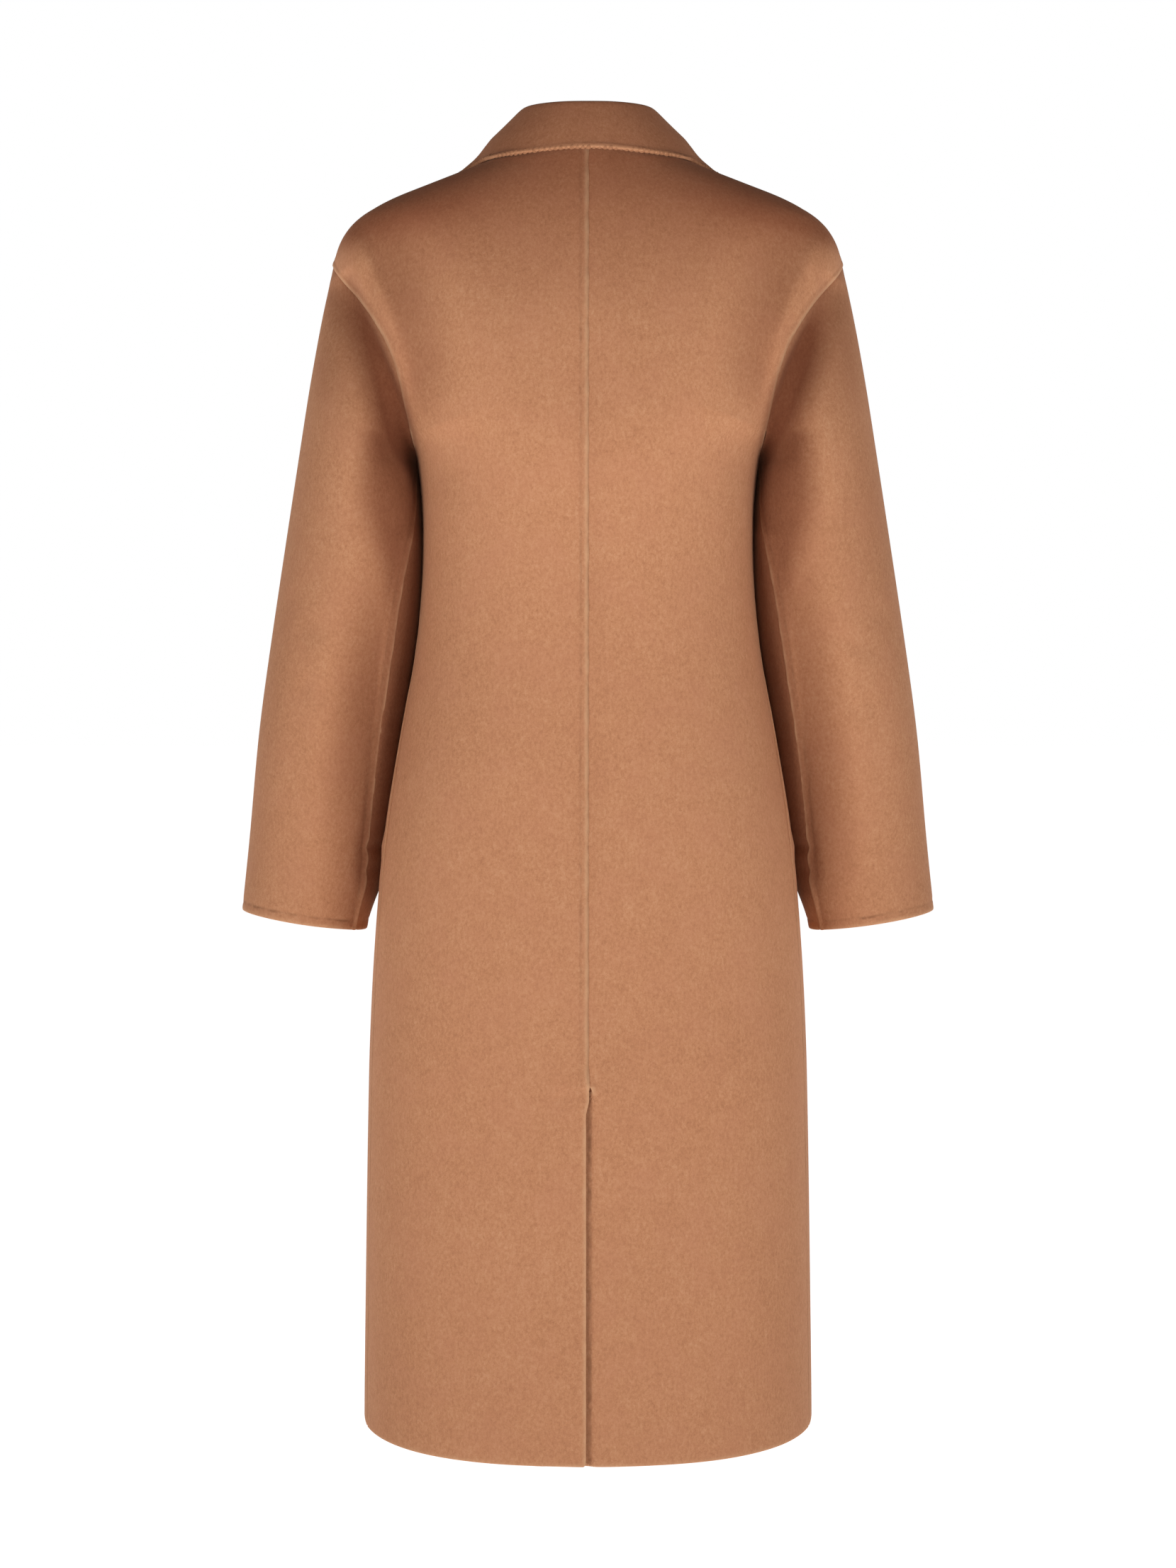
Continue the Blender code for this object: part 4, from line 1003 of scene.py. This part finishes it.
def woolFinish(kind):
    wool = Finish("wool_" + kind)
    look = woolLook
    start, shade = look["kinds"][kind]
    place = wool.node("ShaderNodeTexCoord", out="Object")
    shifted = wool.node("ShaderNodeMapping", {}, {"Vector": place, "Location": (start, start * 0.7, 0.0)})
    swirl = wool.noise(shifted, look["curl"], 1.0, out="Color")
    curled = wool.node("ShaderNodeVectorMath", {"operation": "MULTIPLY_ADD"},
                       {0: swirl, 1: (look["curlReach"],) * 3, 2: shifted}, "Vector")
    brushed = wool.node("ShaderNodeMapping", {}, {"Vector": curled, "Scale": look["brush"]})
    fields = {"shifted": shifted, "curled": curled, "brushed": brushed}
    noise = {key: wool.noise(fields[field], *rest) for key, (field, *rest) in look["noises"].items()}

    def blendOf(shares):
        return sum((noise[key] - 0.5) * share for key, share in shares.items())

    tone = (blendOf(look["toneOf"]) * look["contrast"] + 0.5).clamp()
    low = wool.blend((tone * 2.0).clamp(), (*look["dark"], 1.0), (*look["body"], 1.0))
    colour = wool.blend((tone * 2.0 - 1.0).clamp(), low, (*look["light"], 1.0))
    begin, rise, most = look["blushOf"]
    blush = ((noise["blush"] - begin) * rise).clamp() * most
    colour = wool.blend(blush, colour, (*look["blush"], 1.0))
    # painted shade: the sleeves' and the collar's copies of the wool are made darker
    colour = wool.blend(1.0, colour, (shade, shade, shade, 1.0), "MULTIPLY")
    # painted shade: darker in the creases' troughs, where the sleeves lie against the coat, and where the
    # cloth faces up
    for where in ("hollow", "upward"):
        share = (wool.attribute(where) * look[where + "Share"]).clamp()
        colour = wool.blend(share, colour, (*look[where], 1.0), "MULTIPLY")

    # the edges are painted paler as a painted highlight, and the stitch grooves, the vent's gap and the seams
    # painted darker as painted shade
    ragged = wool.attribute("edgeRun") + blendOf(look["raggedOf"])
    edgeHighlight = ragged.bell(*look["edgeHighlight"]) * wool.attribute("edgePale")
    begin, rise, least = look["grooveGaps"]
    broken = ((noise["matted"] - begin) * rise).clamp() * (1.0 - least) + least
    run = (ragged - wool.attribute("grooveAt")).bell(0.0, look["grooveWidth"])
    groove = run * broken * wool.attribute("edgeDark")
    seam = wool.attribute("seamRun").bell(0.0, look["seamWidth"]) * look["seamDark"]
    colour = wool.blend(edgeHighlight, colour, (*look["edge"], 1.0))
    for share in (groove, seam):
        colour = wool.blend(share, colour, (*look["deep"], 1.0))

    height = blendOf(look["reliefOf"]) - groove * look["grooveRelief"]
    relief = wool.node("ShaderNodeBump", {}, {"Strength": look["bump"], "Distance": look["bumpReach"],
                                              "Height": height})
    wool.set(Base_Color=colour, Normal=relief, Roughness=look["roughness"], Metallic=0.0,
             Sheen_Weight=look["sheen"], Sheen_Roughness=look["sheenRoughness"],
             Sheen_Tint=look["sheenTint"], Specular_IOR_Level=look["specular"])
    return wool.material


buttonLook = {
    "cloud": (90.0, 4.0, 0.6),  # scale, detail and roughness of the horn's noise
    "streaks": {"Scale": 55.0, "Distortion": 9.0, "Detail": 3.0},
    "cloudShare": 0.6,
    "colours": ((0.2, (0.030, 0.014, 0.008)), (0.55, (0.085, 0.042, 0.020)), (0.85, (0.20, 0.11, 0.055))),
    "roughness": (0.24, 0.18),  # the least, and how much the noise adds
    "bump": 0.15,
    "bumpReach": 0.0002,
    "coat": 0.25,
    "coatRoughness": 0.2,
}


def buttonFinish():
    horn = Finish("button_horn")
    look = buttonLook
    place = horn.node("ShaderNodeTexCoord", out="Object")
    cloud = horn.noise(place, *look["cloud"])
    streak = horn.node("ShaderNodeTexWave", {"bands_direction": "DIAGONAL"},
                       {"Vector": place, **look["streaks"]})
    share = (cloud * look["cloudShare"] + streak * (1.0 - look["cloudShare"])).clamp()
    colour = horn.node("ShaderNodeValToRGB", {"stops": look["colours"]}, {"Fac": share})
    least, more = look["roughness"]
    relief = horn.node("ShaderNodeBump", {}, {"Strength": look["bump"], "Distance": look["bumpReach"],
                                              "Height": streak})
    horn.set(Base_Color=colour, Roughness=cloud * more + least, Normal=relief, Coat_Weight=look["coat"],
             Coat_Roughness=look["coatRoughness"])
    return horn.material


# The coat

clothNames = [name for name in sorted(nodes) if not name.startswith("button")]
grids = {name: gridOf(nodes[name]) for name in clothNames}
marks = {name: rimMarks(grid) for name, grid in grids.items()}
sewn = partners(marks)
print("grids and edges read:", {name: len(rows) for name, rows in marks.items()})

wool = {kind: woolFinish(kind) for kind in woolLook["kinds"]}
collarLine = rimLine(grids["collar"])
panels = {}
for name in clothNames:
    panels[name] = buildPanel(name, marks, sewn, grids[name], wool[kindOf(name)])
    print(name, "has", len(panels[name].data.polygons), "faces")
collarFlat = placesOf(panels["collar"].data)
for side in ("left", "right"):
    leanSleeve(side, panels)
collarFree = marks["collar"][sewn["collar"] == "", :3]
collarNeck = marks["collar"][sewn["collar"] != "", :3]
settleCollar(panels["collar"], bodyOf(panels), collarFree, collarNeck)
rope = collarRope(collarLine, collarFlat, placesOf(panels["collar"].data), collarFree, collarNeck,
                  wool["collar"])

horn = buttonFinish()
for name, node in nodes.items():
    if name.startswith("button"):
        for slot in node.material_slots:
            slot.material = horn

# each panel and the collar's rope hang from the root, and the imported solid that each panel was made from is
# hidden
for name, panel in panels.items():
    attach(panel, "root")
    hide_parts(name)
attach(rope, "root")


# Camera, light and floor

studio = {
    "cameraPlace": (0.0, 2.45, -0.456),
    "cameraAim": (0.0, 0.0, -0.5462),
    "frameHeight": 1.3714,  # metres seen at the coat's middle
    "world": 0.07,
    "worldTint": (1.0, 0.5, 0.36, 1.0),
    "lightAim": (0.0, 0.0, -0.58),
    "sideLight": 6.2,  # watts of each light beside the camera
    "sidePlace": (1.6, 2.35, -1.25),
    "sideSize": (1.0, 1.5),
    "sideSpread": math.radians(66),
    "frontLight": 9.0,  # and of each on the coat's front side
    "frontPlace": (1.8, -2.3, -0.6),
    "frontSize": (1.2, 1.6),
    "frontSpread": math.pi,
    "floorLevel": -1.46,
    "floorHalf": 40.0,
    "floorGlow": 1.0,
    "floorTones": ((0.93, 0.93, 0.93, 1.0), (0.90, 0.90, 0.90, 1.0)),
    "floorGrain": 2.0,  # for each metre
    "floorGrainShare": 0.3,
    "floorRoughness": 0.9,
}


def floorFinish():
    paint = Finish("floor_paint")
    place = paint.node("ShaderNodeTexCoord", out="Object")
    grain = paint.noise(place, studio["floorGrain"])
    tone = paint.blend(grain * studio["floorGrainShare"], *studio["floorTones"])
    paint.set(Base_Color=tone, Roughness=studio["floorRoughness"], Emission_Color=white,
              Emission_Strength=studio["floorGlow"])
    return paint.material


def aim(thing, target):
    way = Vector(target) - thing.location
    thing.rotation_euler = way.to_track_quat("-Z", "Y").to_euler()


def addLight(name, place, target, power, size, spread):
    lamp = bpy.data.lights.new(name, "AREA")
    lamp.shape = "RECTANGLE"
    lamp.size, lamp.size_y = size
    lamp.energy = power
    lamp.spread = spread
    thing = bpy.data.objects.new(name, lamp)
    scene.collection.objects.link(thing)
    thing.location = place
    aim(thing, target)


lens = bpy.data.cameras.new("view")
lens.sensor_fit = "VERTICAL"
reach = (Vector(studio["cameraAim"]) - Vector(studio["cameraPlace"])).length
lens.angle_y = 2.0 * math.atan(0.5 * studio["frameHeight"] / reach)
camera = bpy.data.objects.new("view", lens)
scene.collection.objects.link(camera)
camera.location = studio["cameraPlace"]
aim(camera, studio["cameraAim"])
scene.camera = camera

for sign, label in ((1.0, "left"), (-1.0, "right")):
    for place in ("side", "front"):
        x, y, z = studio[place + "Place"]
        addLight(place + "_" + label, (sign * x, y, z), studio["lightAim"], studio[place + "Light"],
                 studio[place + "Size"], studio[place + "Spread"])

world = bpy.data.worlds.new("studio")
world.use_nodes = True
tree = world.node_tree
background = tree.nodes["Background"]
background.inputs["Color"].default_value = studio["worldTint"]
background.inputs["Strength"].default_value = studio["world"]
sky = tree.nodes.new("ShaderNodeBackground")
sky.inputs["Color"].default_value = white
path = tree.nodes.new("ShaderNodeLightPath")
either = tree.nodes.new("ShaderNodeMixShader")
for at, out in enumerate((path.outputs["Is Camera Ray"], background.outputs[0], sky.outputs[0])):
    tree.links.new(out, either.inputs[at])
tree.links.new(either.outputs[0], tree.nodes["World Output"].inputs["Surface"])
scene.world = world
scene.view_settings.view_transform = "Standard"

level = studio["floorLevel"]
half = studio["floorHalf"]
corners = [(x * half, y * half, level) for x, y in ((-1, -1), (1, -1), (1, 1), (-1, 1))]
floorMesh = bpy.data.meshes.new("floor")
floorMesh.from_pydata(corners, [], [(0, 1, 2, 3)])
floorMesh.materials.append(floorFinish())
floor = bpy.data.objects.new("floor", floorMesh)
scene.collection.objects.link(floor)
print("camera, lights and floor ready")
